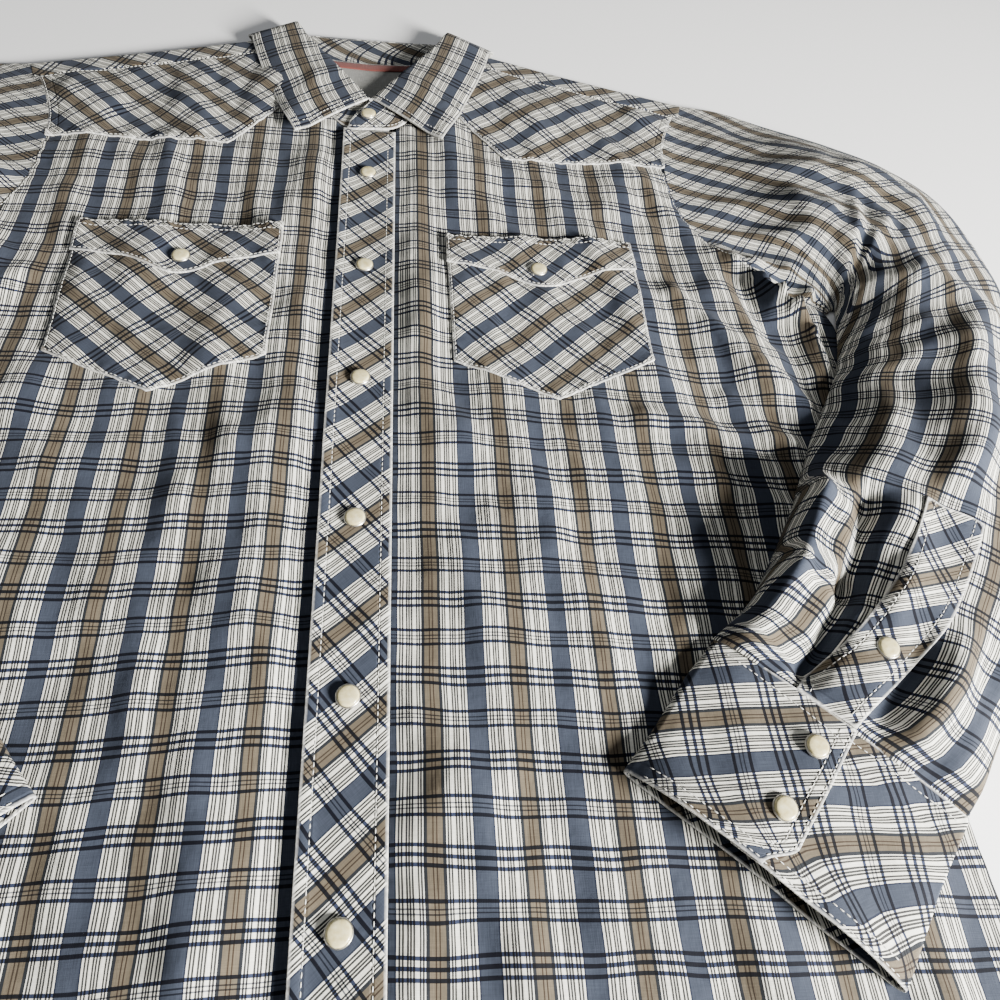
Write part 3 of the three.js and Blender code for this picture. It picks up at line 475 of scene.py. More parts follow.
def front_top(x, y, layer=0):
    x = np.asarray(x, float)
    y = np.asarray(y, float)
    height = front_height(x, y) + front_relief(x, y)
    height = LAYER + 0.5 * (height - LAYER + np.sqrt((height - LAYER) ** 2 + 0.25)) - 0.2
    return height + layer * LAYER + WALL


def back_lift(x, y):
    """The collar is folded under the back, and lifts it by a layer."""
    return LAYER * smooth_step(340, 370, y) * smooth_step(132, 108, np.abs(x))


print("front at the second snap:", round(float(front_top(0, 170)), 2), "mm up")

# %% [markdown]
# ## Cutting a panel
# A flat panel starts as its paper pattern: a line of points round its edge. The inside is filled
# with a net of small triangles, each point is lifted to where the cloth lies, and Solidify gives
# it its thickness. The pattern's own x and y, turned to the grain, become the UV map, so the plaid
# runs as it was cut, whatever the folds do.

# %% Outline tools
def resampled(points, pitch):
    """The closed outline with a point at least every pitch, its corners kept."""
    out = []
    for (x0, y0), (x1, y1) in zip(points, points[1:] + points[:1]):
        steps = max(1, math.ceil(math.hypot(x1 - x0, y1 - y0) / pitch))
        out += [(mix(x0, x1, k / steps), mix(y0, y1, k / steps)) for k in range(steps)]
    return out


def inside(x, y, points):
    hit = np.zeros(x.shape, bool)
    for (x0, y0), (x1, y1) in zip(points, points[1:] + points[:1]):
        crosses = (y0 > y) != (y1 > y)
        slope = (x1 - x0) / (y1 - y0) if y1 != y0 else 0.0
        hit ^= crosses & (x < x0 + slope * (y - y0))
    return hit


def without_repeats(points):
    kept = [p for p, q in zip(points, points[1:] + points[:1]) if math.dist(p, q) > 0.05]
    return [(float(x), float(y)) for x, y in kept]


def net(outline, pitch):
    """Points and triangles that fill an outline."""
    outline = without_repeats(list(outline))
    edge = resampled(outline, pitch)
    ex = np.array(edge)
    rows = np.arange(ex[:, 1].min(), ex[:, 1].max(), pitch * 0.866)
    columns = np.arange(ex[:, 0].min() - pitch, ex[:, 0].max(), pitch)
    gx, gy = np.meshgrid(columns, rows)
    gx = gx + (np.arange(len(rows)) % 2)[:, None] * pitch / 2
    gx, gy = gx.ravel(), gy.ravel()
    away, _ = along_line(gx, gy, outline + outline[:1])
    keep = inside(gx, gy, outline) & (away > 0.55 * pitch)
    points = [Vector(p) for p in edge] + [Vector(p) for p in zip(gx[keep], gy[keep])]
    rim = [(k, (k + 1) % len(edge)) for k in range(len(edge))]
    flat, _, faces, *_ = delaunay_2d_cdt(points, rim, [], 1, 1e-4)
    return np.array([tuple(p) for p in flat]), faces


# %% Making a mesh and giving it its thickness
CUT = {}


def new_piece(name, points_mm, faces):
    mesh = bpy.data.meshes.new("cloth_" + name)
    mesh.from_pydata([tuple(p) for p in np.asarray(points_mm) * MM], [], faces)
    mesh.update()
    piece = bpy.data.objects.new("cloth_" + name, mesh)
    bpy.context.scene.collection.objects.link(piece)
    return piece


def only(piece):
    bpy.ops.object.select_all(action="DESELECT")
    piece.select_set(True)
    bpy.context.view_layer.objects.active = piece


def set_uv(piece, per_point):
    layer = piece.data.uv_layers.new(name="pattern")
    corners = np.zeros(len(piece.data.loops), np.int32)
    piece.data.loops.foreach_get("vertex_index", corners)
    layer.data.foreach_set("uv", (np.asarray(per_point) * MM)[corners].ravel())


def set_edge(piece, per_point):
    layer = piece.data.attributes.new("edge", "FLOAT", "POINT")
    layer.data.foreach_set("value", np.asarray(per_point, np.float32) * MM)


def give_thickness(piece, thickness, offset=-1.0, rounding=0.32):
    only(piece)
    bpy.ops.object.modifier_add(type="SOLIDIFY")
    shell = piece.modifiers[-1]
    shell.thickness = thickness * MM
    shell.offset = offset
    shell.use_even_offset = False
    bpy.ops.object.modifier_apply(modifier=shell.name)
    if rounding:
        bpy.ops.object.modifier_add(type="BEVEL")
        rim = piece.modifiers[-1]
        rim.width = rounding * MM
        rim.segments = 2
        rim.limit_method = "ANGLE"
        rim.angle_limit = math.radians(58)
        rim.use_clamp_overlap = True
        bpy.ops.object.modifier_apply(modifier=rim.name)
    bpy.ops.object.shade_smooth_by_angle(angle=math.radians(65))
    return piece


def grain(angle, blue=0.0, line=0.0, squeeze=1.0, fall=0.0):
    """Pattern coordinates: u across the long bands that run at the angle, v along them."""
    c, s = math.cos(math.radians(angle)), math.sin(math.radians(angle))

    def pattern(x, y):
        across = (-s * x + c * y - blue) / squeeze
        along = (c * x + s * y - line) / squeeze + fall * x
        return np.stack([across, along], -1)

    return pattern


def cut_panel(name, outline, top, pitch, pattern, thickness=CLOTH, press=0.35):
    flat, faces = net(outline, pitch)
    x, y = flat[:, 0], flat[:, 1]
    closed = list(outline) + [outline[0]]
    edge, _ = along_line(x, y, closed)
    z = top(x, y) - press * np.exp(-((edge / 1.2) ** 2))
    piece = new_piece(name, np.stack([x, y, z], -1), faces)
    set_uv(piece, pattern(x, y))
    set_edge(piece, edge)
    give_thickness(piece, thickness)
    pairs = zip(outline, list(outline[1:]) + [outline[0]])
    area = abs(sum(x0 * y1 - x1 * y0 for (x0, y0), (x1, y1) in pairs)) / 2
    CUT[name] = (float(np.ptp(x)), float(np.ptp(y)), area)
    print(name, len(piece.data.polygons), "faces")
    return piece


# %% [markdown]
# ## The plaid
# The cloth is yarn dyed: bands of blue, cream and tan run along it, with hair-thin dark pinstripes
# in the cream, and groups of three or four dark picks cross it. The two repeats, 38.4 by 36.4 mm,
# mirror about the middle of each band, so one folded ruler and one colour ramp draws each
# direction. Streaked noise gives the heathered yarn, and the same ruler gives the weave's relief.

# %% Node helpers
def add_node(tree, kind, **settings):
    node = tree.nodes.new(kind)
    for key, value in settings.items():
        setattr(node, key, value)
    return node


def calc(tree, operation, a, b=None, c=None):
    """A Math node. Each input is a socket or a number."""
    node = add_node(tree, "ShaderNodeMath", operation=operation)
    for socket, value in zip(node.inputs, (a, b, c)):
        if isinstance(value, bpy.types.NodeSocket):
            tree.links.new(value, socket)
        elif value is not None:
            socket.default_value = value
    return node.outputs[0]


def ramp(tree, value, stops, kind="CONSTANT"):
    node = add_node(tree, "ShaderNodeValToRGB")
    node.color_ramp.interpolation = kind
    elements = node.color_ramp.elements
    elements[0].position = stops[0][0]
    elements[0].color = (*stops[0][1], 1)
    elements.remove(elements[1])
    for place, color in stops[1:]:
        elements.new(place).color = (*color, 1)
    tree.links.new(value, node.inputs[0])
    return node.outputs[0]


def blend(tree, mode, amount, a, b):
    node = add_node(tree, "ShaderNodeMix", data_type="RGBA", blend_type=mode)
    for socket, value in ((node.inputs[0], amount), (node.inputs[6], a), (node.inputs[7], b)):
        if isinstance(value, bpy.types.NodeSocket):
            tree.links.new(value, socket)
        elif isinstance(value, tuple):
            socket.default_value = (*value, 1)
        else:
            socket.default_value = value
    return node.outputs[2]


def noise(tree, vector, scale, detail=2.0):
    node = add_node(tree, "ShaderNodeTexNoise", noise_dimensions="3D")
    node.inputs["Scale"].default_value = scale
    node.inputs["Detail"].default_value = detail
    tree.links.new(vector, node.inputs["Vector"])
    return node.outputs["Fac"]


def stretched(tree, vector, scale):
    node = add_node(tree, "ShaderNodeVectorMath", operation="MULTIPLY")
    node.inputs[1].default_value = scale
    tree.links.new(vector, node.inputs[0])
    return node.outputs[0]


def gray(value):
    return (value, value, value)


# %% The woven plaid as a node group
WARP_REPEAT = 38.4
WEFT_REPEAT = 36.4
CREAM = (0.73, 0.715, 0.635)
BLUE = (0.032, 0.039, 0.056)
BLUE_EDGE = (0.012, 0.016, 0.030)
TAN = (0.104, 0.085, 0.059)
TAN_LINE = (0.030, 0.021, 0.014)
SLATE = (0.014, 0.016, 0.019)
PINSTRIPE = (0.038, 0.038, 0.037)
PICK = (0.030, 0.040, 0.090)
WORN_YARN = (0.72, 0.71, 0.67)
WORN_REACH = 0.0014
THREAD_WAVE = 13.0
# distance from the middle of the blue band, colour from there on
WARP = [
    (0.0, BLUE),
    (3.7, BLUE_EDGE),
    (4.3, CREAM),
    (5.1, PINSTRIPE),
    (5.85, CREAM),
    (6.25, PINSTRIPE),
    (7.0, CREAM),
    (8.05, PINSTRIPE),
    (8.8, CREAM),
    (9.15, PINSTRIPE),
    (9.9, CREAM),
    (10.25, PINSTRIPE),
    (11.0, CREAM),
    (12.55, PINSTRIPE),
    (13.25, CREAM),
    (13.65, PINSTRIPE),
    (14.35, CREAM),
    (14.8, SLATE),
    (16.2, TAN),
    (18.2, TAN_LINE),
    (18.75, TAN),
]
# distance from the middle pick of a group of three, 1 on a dark pick
WEFT = [
    (0.0, 1.0),
    (0.75, 0.0),
    (2.75, 1.0),
    (4.2, 0.0),
    (14.1, 1.0),
    (15.5, 0.0),
    (17.1, 0.85),
    (17.65, 0.0),
]

weave = bpy.data.node_groups.new("woven_plaid", "ShaderNodeTree")
weave.interface.new_socket("Pattern", in_out="INPUT", socket_type="NodeSocketVector")
weave.interface.new_socket("Edge", in_out="INPUT", socket_type="NodeSocketFloat")
weave.interface.new_socket("Wear", in_out="INPUT", socket_type="NodeSocketFloat")
weave.interface.new_socket("Color", in_out="OUTPUT", socket_type="NodeSocketColor")
weave.interface.new_socket("Height", in_out="OUTPUT", socket_type="NodeSocketFloat")
given = add_node(weave, "NodeGroupInput")
result = add_node(weave, "NodeGroupOutput")

in_mm = stretched(weave, given.outputs["Pattern"], (1000, 1000, 1000))
wander = noise(weave, in_mm, 0.022, 1.0)
split = add_node(weave, "ShaderNodeSeparateXYZ")
weave.links.new(in_mm, split.inputs[0])
off = calc(weave, "MULTIPLY_ADD", wander, 5.0, -2.5)
across = calc(weave, "ADD", split.outputs["X"], calc(weave, "MULTIPLY", off, 0.35))
along = calc(weave, "ADD", split.outputs["Y"], off)
band = calc(weave, "DIVIDE", calc(weave, "PINGPONG", across, WARP_REPEAT / 2), WARP_REPEAT / 2)
pick = calc(weave, "DIVIDE", calc(weave, "PINGPONG", along, WEFT_REPEAT / 2), WEFT_REPEAT / 2)
warp_color = ramp(weave, band, [(at / WARP_REPEAT * 2, color) for at, color in WARP])
dark_pick = ramp(weave, pick, [(at / WEFT_REPEAT * 2, gray(value)) for at, value in WEFT])

warp_yarn = noise(weave, stretched(weave, in_mm, (2.4, 0.12, 1)), 1.0, 3.0)
weft_yarn = noise(weave, stretched(weave, in_mm, (0.12, 2.4, 1)), 1.0, 3.0)
slub = calc(weave, "MULTIPLY_ADD", warp_yarn, 0.75, 0.62)
slub_across = calc(weave, "MULTIPLY_ADD", weft_yarn, 0.55, 0.73)
heather = calc(weave, "MULTIPLY", slub, slub_across)
crossed = blend(weave, "MULTIPLY", dark_pick, warp_color, PICK)
yarn_color = blend(weave, "MULTIPLY", 1.0, crossed, heather)
worn = calc(weave, "SUBTRACT", 1.0, calc(weave, "DIVIDE", given.outputs["Edge"], WORN_REACH))
worn = calc(weave, "MULTIPLY", calc(weave, "MAXIMUM", worn, 0.0), given.outputs["Wear"])
patchy = noise(weave, stretched(weave, in_mm, (0.6, 0.6, 1)), 1.0, 3.0)
worn = calc(weave, "MULTIPLY", worn, patchy)
faded = blend(weave, "MIX", worn, yarn_color, WORN_YARN)
weave.links.new(faded, result.inputs["Color"])

warp_wave = calc(weave, "SINE", calc(weave, "MULTIPLY", split.outputs["X"], THREAD_WAVE))
weft_wave = calc(weave, "SINE", calc(weave, "MULTIPLY", split.outputs["Y"], THREAD_WAVE))
threads = calc(weave, "MULTIPLY", warp_wave, weft_wave)
relief = calc(weave, "MULTIPLY_ADD", threads, 0.25, calc(weave, "ADD", warp_yarn, weft_yarn))
weave.links.new(relief, result.inputs["Height"])
print("plaid repeat", WARP_REPEAT, "by", WEFT_REPEAT, "mm")


# %% Cloth materials
BAND_SEAM = 5.2
GROOVE_HALF = 0.0009
GROOVE_DEPTH = 0.9


def cloth_material(name, stitch_at, wear):
    """Plaid with a sewn groove at each distance from the edge, in millimetres."""
    material = bpy.data.materials.new(name)
    material.use_nodes = True
    tree = material.node_tree
    surface = tree.nodes["Principled BSDF"]
    pattern = add_node(tree, "ShaderNodeUVMap", uv_map="pattern")
    edge = add_node(tree, "ShaderNodeAttribute", attribute_name="edge")
    plaid = add_node(tree, "ShaderNodeGroup", node_tree=weave)
    tree.links.new(pattern.outputs["UV"], plaid.inputs["Pattern"])
    tree.links.new(edge.outputs["Fac"], plaid.inputs["Edge"])
    plaid.inputs["Wear"].default_value = wear
    tree.links.new(plaid.outputs["Color"], surface.inputs["Base Color"])
    place = add_node(tree, "ShaderNodeTexCoord")
    rumple = noise(tree, place.outputs["Object"], 130.0, 2.0)
    rumple = calc(tree, "MULTIPLY", rumple, 1.1)
    height = calc(tree, "MULTIPLY_ADD", plaid.outputs["Height"], 0.16, rumple)
    for distance in stitch_at:
        away = calc(tree, "ABSOLUTE", calc(tree, "SUBTRACT", edge.outputs["Fac"], distance * MM))
        groove = calc(tree, "SUBTRACT", 1.0, calc(tree, "DIVIDE", away, GROOVE_HALF))
        groove = calc(tree, "MAXIMUM", groove, 0.0)
        height = calc(tree, "SUBTRACT", height, calc(tree, "MULTIPLY", groove, GROOVE_DEPTH))
    bump = add_node(tree, "ShaderNodeBump")
    bump.inputs["Strength"].default_value = 0.55
    bump.inputs["Distance"].default_value = 0.0006
    tree.links.new(height, bump.inputs["Height"])
    tree.links.new(bump.outputs["Normal"], surface.inputs["Normal"])
    surface.inputs["Roughness"].default_value = 0.86
    surface.inputs["Sheen Weight"].default_value = 0.03
    surface.inputs["Sheen Roughness"].default_value = 0.5
    surface.inputs["Specular IOR Level"].default_value = 0.14
    return material


PLAIN_PLAID = cloth_material("plaid_straight", [], 0.0)
EDGED_PLAID = cloth_material("plaid_top_stitched", [1.8, 6.4], 1.15)
BAND_PLAID = cloth_material("plaid_band", [BAND_SEAM], 1.4)
POCKET_PLAID = cloth_material("plaid_pocket", [1.7], 1.1)

# %% Plain cloths for the inside of the neck
plain_weave = bpy.data.node_groups.new("plain_weave", "ShaderNodeTree")
plain_weave.interface.new_socket("Pattern", in_out="INPUT", socket_type="NodeSocketVector")
plain_weave.interface.new_socket("Color", in_out="INPUT", socket_type="NodeSocketColor")
plain_weave.interface.new_socket("Uneven", in_out="INPUT", socket_type="NodeSocketFloat")
plain_weave.interface.new_socket("Color", in_out="OUTPUT", socket_type="NodeSocketColor")
plain_weave.interface.new_socket("Height", in_out="OUTPUT", socket_type="NodeSocketFloat")
plain_given = add_node(plain_weave, "NodeGroupInput")
plain_result = add_node(plain_weave, "NodeGroupOutput")
plain_mm = stretched(plain_weave, plain_given.outputs["Pattern"], (1000, 1000, 1000))
long_yarn = noise(plain_weave, stretched(plain_weave, plain_mm, (2.6, 0.15, 1)), 1.0, 3.0)
cross_yarn = noise(plain_weave, stretched(plain_weave, plain_mm, (0.15, 2.6, 1)), 1.0, 3.0)
plain_relief = calc(plain_weave, "ADD", long_yarn, cross_yarn)
shade = calc(plain_weave, "SUBTRACT", plain_relief, 1.0)
shade = calc(plain_weave, "MULTIPLY", shade, plain_given.outputs["Uneven"])
shade = calc(plain_weave, "ADD", shade, 1.0)
toned = blend(plain_weave, "MULTIPLY", 1.0, plain_given.outputs["Color"], shade)
plain_weave.links.new(toned, plain_result.inputs["Color"])
plain_weave.links.new(plain_relief, plain_result.inputs["Height"])


def plain_cloth(name, color, uneven):
    """One plain colour of cotton, with its threads."""
    material = bpy.data.materials.new(name)
    material.use_nodes = True
    tree = material.node_tree
    surface = tree.nodes["Principled BSDF"]
    pattern = add_node(tree, "ShaderNodeUVMap", uv_map="pattern")
    cloth = add_node(tree, "ShaderNodeGroup", node_tree=plain_weave)
    tree.links.new(pattern.outputs["UV"], cloth.inputs["Pattern"])
    cloth.inputs["Color"].default_value = (*color, 1)
    cloth.inputs["Uneven"].default_value = uneven
    tree.links.new(cloth.outputs["Color"], surface.inputs["Base Color"])
    bump = add_node(tree, "ShaderNodeBump")
    bump.inputs["Strength"].default_value = 0.5
    bump.inputs["Distance"].default_value = 0.0005
    tree.links.new(cloth.outputs["Height"], bump.inputs["Height"])
    tree.links.new(bump.outputs["Normal"], surface.inputs["Normal"])
    surface.inputs["Roughness"].default_value = 0.88
    surface.inputs["Sheen Weight"].default_value = 0.1
    return material


GREY_COTTON = plain_cloth("grey_cotton", (0.2, 0.2, 0.185), 0.9)
RUST_TAPE = plain_cloth("rust_tape", (0.12, 0.025, 0.018), 1.2)
print("two plain cloths")


# %% Finishing a cloth piece
def finish_cloth(piece, material):
    """The piece takes the place of the solid of its name."""
    node = piece.name.removeprefix("cloth_")
    piece.data.materials.clear()
    piece.data.materials.append(material)
    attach(piece, "root")
    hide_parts(node)
    width, length, area = CUT[node]
    area = min(area, width * length) * MM * MM
    return piece


# %% [markdown]
# ## Back and fronts
# The back is the lowest layer and lies flat on the table. The fronts lie on it. The wearer's left
# front ends under the placket, and the right front runs on beneath it. Their top edges go under
# the pointed yokes, as they would before the yokes are top-stitched down.

# %% Back
STRAIGHT_LEFT = grain(90, -54.6, -11, 1.0, 0.05)
STRAIGHT_RIGHT = grain(90, 55, -7.6, 0.94, -0.02)

armhole_low = [tuple(p) for p in ARMHOLE if p[1] < BACK_YOKE_LEVEL - 1]
back_left = SIDE[:-1] + armhole_low + [armhole_at(BACK_YOKE_LEVEL)]
back_outline = hem(-HALF_HEM, HALF_HEM, 40) + back_left[1:] + [(0, BACK_YOKE_POINT)]
back_outline += mirrored(back_left)[:-1]
back = cut_panel("back", back_outline, lambda x, y: 0 * x + 1.1, 9, STRAIGHT_LEFT, 1.1, 0.0)
finish_cloth(back, PLAIN_PLAID)


# %% Fronts
def front_outline(centre_x):
    lapped = armhole_at(YOKE["level"] + YOKE["lap"])
    neck = [tuple(p) for p in NECKLINE if p[1] < YOKE["neck_y"] - 1]
    return (
        hem(centre_x, HALF_HEM, 24)
        + SIDE[1:-1]
        + [tuple(p) for p in ARMHOLE if p[1] < lapped[1] - 1]
        + [lapped]
        + [(YOKE["corner_x"] + YOKE["lap"], YOKE["level"] + YOKE["lap"])]
        + [(YOKE["neck_x"] + YOKE["lap"], YOKE["neck_y"] + YOKE["lap"])]
        + neck[::-1]
        + [(centre_x, NECK_FRONT_Y)]
    )


FRONT_PITCH = 3.3
left_front = cut_panel(
    "front_left", front_outline(FRONT_OVERLAP_X + 0.3), front_top, FRONT_PITCH, STRAIGHT_LEFT
)
finish_cloth(left_front, PLAIN_PLAID)
right_front = cut_panel(
    "front_right", mirrored(front_outline(-FRONT_OVERLAP_X)), front_top, FRONT_PITCH, STRAIGHT_RIGHT
)
finish_cloth(right_front, PLAIN_PLAID)

# %% [markdown]
# ## Yokes, placket, pockets and flaps
# These are cut on the bias, so their bands run aslant, and mirrored from side to side. Each is
# the same kind of panel, one layer up, or two for the flaps. Their edges are pressed down where
# they are sewn, and rubbed pale by wear.

# %% Panels on the fronts
def layer_top(layer):
    return lambda x, y: front_top(x, y, layer)


yoke_neck = [tuple(p) for p in NECKLINE if YOKE["neck_y"] < p[1] < SEAM_NECK[1] - 1]
yoke_outline = (
    [(YOKE["corner_x"], YOKE["level"]), armhole_at(YOKE["level"])]
    + armhole_between(YOKE["level"], SEAM_TIP[1])
    + [armhole_at(SEAM_TIP[1]), SEAM_NECK]
    + yoke_neck[::-1]
    + [(YOKE["neck_x"], YOKE["neck_y"])]
)
pocket_outline = POCKET_EDGE[::-1]
flap_outline = FLAP_EDGE + FLAP_TOP[::-1]
placket_outline = [
    (PLACKET_HALF, CENTRE_HEM_Y),
    (PLACKET_HALF, NECK_FRONT_Y),
    (-PLACKET_HALF, NECK_FRONT_Y),
    (-PLACKET_HALF, CENTRE_HEM_Y),
]


def placket_top(x, y):
    """The placket's free edge stands a little proud of the right front."""
    x = np.asarray(x, float)
    middle = front_top(np.maximum(x, -12.0), y, 1)
    return middle + 1.5 * smooth_step(-10, -PLACKET_HALF, x)


# name, outline, layer, pattern, mirrored, material, what it lies on
PANELS = [
    ("front_yoke_left", yoke_outline, 1, grain(39, 172, 0), False, EDGED_PLAID, "front_left"),
    ("front_yoke_right", yoke_outline, 1, grain(-44, 181, 4, 0.93), True, EDGED_PLAID, "front_right"),
    ("pocket_left", pocket_outline, 1, grain(42, 6.5, 161, 0.97), False, POCKET_PLAID, "front_left"),
    ("pocket_right", pocket_outline, 1, grain(-42.5, 12.5, -165, 0.93), True, POCKET_PLAID, "front_right"),
    ("pocket_flap_left", flap_outline, 2, grain(44, 82, 150, 0.97), False, POCKET_PLAID, "pocket_left"),
    ("pocket_flap_right", flap_outline, 2, grain(-42, 54.6, -160, 0.9), True, POCKET_PLAID, "pocket_right"),
]
placket = cut_panel("placket", placket_outline, placket_top, 2.4, grain(40.5, 11.4))
finish_cloth(placket, BAND_PLAID)
for name, outline, layer, pattern, mirror, material, carrier in PANELS:
    outline = mirrored(outline) if mirror else outline
    piece = cut_panel(name, outline, layer_top(layer), 2.4, pattern)
    finish_cloth(piece, material)

# %% [markdown]
# ## Shoulders and the inside of the neck
# The back yoke comes over the shoulder and is sewn to the front yoke a finger's width in front of
# the fold. It is a strip that rolls over the shoulder edge, joined to the plate that lies beneath.
# Inside the neck a plain grey lining and a rust-red tape show.

# %% Sheets made from rows of points
def sheet_from_rows(name, rows, uv, edge, thickness=CLOTH, offset=0.0, rounding=0.32):
    """A cloth sheet through rows of points, with pattern places and edge distances of each."""
    rows = np.asarray(rows, float)
    m, n = rows.shape[:2]
    index = np.arange(m * n).reshape(m, n)
    quads = np.stack([index[:-1, :-1], index[1:, :-1], index[1:, 1:], index[:-1, 1:]], -1)
    piece = new_piece(name, rows.reshape(-1, 3), quads.reshape(-1, 4).tolist())
    set_uv(piece, np.asarray(uv, float).reshape(-1, 2))
    set_edge(piece, np.asarray(edge, float).ravel())
    give_thickness(piece, thickness, offset, rounding)
    down, across = run_lengths(rows)
    cells = np.diff(down, axis=0)[:, 1:] * np.diff(across, axis=1)[1:]
    CUT[name] = (float(across.max()), float(down.max()), float(cells.sum()))
    print(name, len(piece.data.polygons), "faces")
    return piece


def run_lengths(rows):
    """How far each point is along its own row, and along its own column."""
    rows = np.asarray(rows, float)
    down = np.linalg.norm(np.diff(rows, axis=0), axis=-1)
    across = np.linalg.norm(np.diff(rows, axis=1), axis=-1)
    down = np.concatenate([np.zeros((1, rows.shape[1])), np.cumsum(down, 0)])
    across = np.concatenate([np.zeros((rows.shape[0], 1)), np.cumsum(across, 1)], 1)
    return down, across


def turned(u, v, angle):
    c, s = math.cos(math.radians(angle)), math.sin(math.radians(angle))
    return np.stack([c * u - s * v, s * u + c * v], -1)


def join(pieces, name):
    only(pieces[0])
    for piece in pieces[1:]:
        piece.select_set(True)
    bpy.ops.object.join()
    pieces[0].name = "cloth_" + name
    return pieces[0]


# %% Back yoke with its shoulder strips
def shoulder_strip(side):
    t = np.linspace(0, 1, 70)[:, None]
    x = mix(SHOULDER_NECK[0], SHOULDER_TIP[0], t)
    y = mix(SHOULDER_NECK[1], SHOULDER_TIP[1], t)
    px, py = from_shoulder((x, y), np.linspace(SHOULDER_SEAM, 2.5, 9)[None, :])
    top = front_top(side * px, py, 1) - CLOTH / 2
    front_part = np.stack([side * px, py, top], -1)
    low = 0.5 + back_lift(x, y)
    a = np.radians(np.linspace(20, 160, 8))[None, :]
    px, py = from_shoulder((x, y), 2.5 - 2.5 * np.sin(a))
    roll = np.stack([side * px, py, mix(top[:, -1:], low, (1 - np.cos(a)) / 2)], -1)
    px, py = from_shoulder((x, y), 12)
    back_part = np.stack([side * px, py, low], -1)
    rows = np.concatenate([front_part, roll, back_part], 1)[:, ::side]
    down, across = run_lengths(rows)
    uv = turned(across, down, 40 * side) + np.array([6.0, 0.0])
    return sheet_from_rows("shoulder", rows, uv, 20 + 0 * across)


BACK_NECK = [SHOULDER_NECK, (65, 405), (48, 397.5), (24, 391.5), (0, 390)]
neck_curve = [tuple(p) for p in spline(BACK_NECK, 16)]
plate_left = [armhole_at(BACK_YOKE_LEVEL)] + armhole_between(BACK_YOKE_LEVEL, SHOULDER_TIP[1])
plate_left += [from_shoulder(SHOULDER_TIP, 4), from_shoulder(SHOULDER_NECK, 4)] + neck_curve[1:]
plate_outline = [(0, BACK_YOKE_POINT)] + plate_left + mirrored(plate_left)[1:]
plate = cut_panel(
    "back_yoke_plate",
    plate_outline,
    lambda x, y: back_lift(x, y) + 1.0,
    6,
    grain(45, 10, 0),
    0.9,
    0.0,
)
back_yoke = join([plate, shoulder_strip(1), shoulder_strip(-1)], "back_yoke")
plate_cut, strip_cut = CUT["back_yoke_plate"], CUT["shoulder"]
CUT["back_yoke"] = (plate_cut[0], plate_cut[1] + 40, plate_cut[2] + 2 * strip_cut[2])
finish_cloth(back_yoke, PLAIN_PLAID)

# %% Lining and tape inside the neck
half_lining = [(46, 336), (46, 372), (44, 392.5), (24, 388.5), (0, 387)]
lining_outline = half_lining + mirrored(half_lining)[1:]


def lining_top(x, y):
    return back_lift(x, y) + LAYER + 1.1 + 0.25 * np.sin(x / 9 + y / 21)


lining = cut_panel("inner_yoke", lining_outline, lining_top, 3, grain(90), 0.8, 0.1)
half_tape = [(36, 382), (36, 390.2), (24, 388.3), (0, 386.8)]
tape_outline = half_tape + mirrored(half_tape)[1:] + [(0, 379)]
tape = cut_panel(
    "neck_tape",
    tape_outline,
    lambda x, y: back_lift(x, y) + 2 * LAYER + 1.1,
    2,
    grain(0),
    0.8,
    0.2,
)
finish_cloth(lining, GREY_COTTON)
finish_cloth(tape, RUST_TAPE)

# %% [markdown]
# ## Collar stand and collar
# The stand is a narrow band round the neck, lapped at the front. The collar folds outwards over
# its upper edge and lies on the yokes, and at the back both are pressed flat under the shirt.
# Each is a row of short lines from its inner to its outer edge. Two smooth curves carry the ends
# of those lines round the neck.

# %% Stand
# seam x, seam y, top x, top y, side of the shirt
STAND_STATIONS = [
    (0, 304.5, 0, 333, "front"),
    (16.5, 307.8, 11, 350, "front"),
    (34, 328, 23, 370, "front"),
    (49, 352, 37, 391, "front"),
    (59, 376.5, 48, 409, "front"),
    (62, 395, 54, 421, "front"),
    (62.5, 402, 57, 425, "fold"),
    (59, 402.8, 53, 425.5, "back"),
    (46, 398.4, 42, 425.2, "back"),
    (24, 393, 22, 424.8, "back"),
    (0, 391.5, 0, 424.6, "back"),
]
STAND_FREE_END = [
    [(-15.5, 303.4, 6.7), (-13.2, 312, 7.6)],
    [(-11, 303.2, 6.7), (-9, 320, 8.6)],
]
STAND_LAP = 0.85
RING_STEPS = 72


def stand_top(x):
    return 8.4 + 1.4 * float(smooth_step(0, 50, x))


def by_side(side, front_z, back_z):
    return {"front": front_z, "fold": (front_z + back_z) / 2, "back": back_z}[side]


def ring(stations, edges_of):
    """The lower and upper edge of a band from the front centre to the back centre."""
    edges = [edges_of(*station) for station in stations]
    low, high = (spline([e[k] for e in edges], RING_STEPS) for k in (0, 1))
    for line in (low, high):
        line[:, 2] = np.maximum(line[:, 2], WALL / 2)
    return low, high


def stand_edges(seam_x, seam_y, top_x, top_y, side):
    seam_z = by_side(side, float(front_height(seam_x, seam_y)) + LAYER, LAYER + WALL / 2)
    top_z = by_side(side, stand_top(top_x), LAYER + WALL / 2)
    return (seam_x, seam_y, seam_z), (top_x, top_y, top_z)


def between(low, high, columns):
    t = np.linspace(0, 1, columns)[None, :, None]
    return np.asarray(low)[:, None] * (1 - t) + np.asarray(high)[:, None] * t


def edge_distance(rows):
    down, across = run_lengths(rows)
    nearest = np.minimum(down, down[-1] - down)
    return np.minimum(nearest, np.minimum(across, across[:, -1:] - across))


def lapped(rows, lift):
    near = smooth_step(30, 4, np.abs(rows[..., 0])) * smooth_step(380, 350, rows[..., 1])
    out = rows.copy()
    out[..., 2] += lift * near
    return out


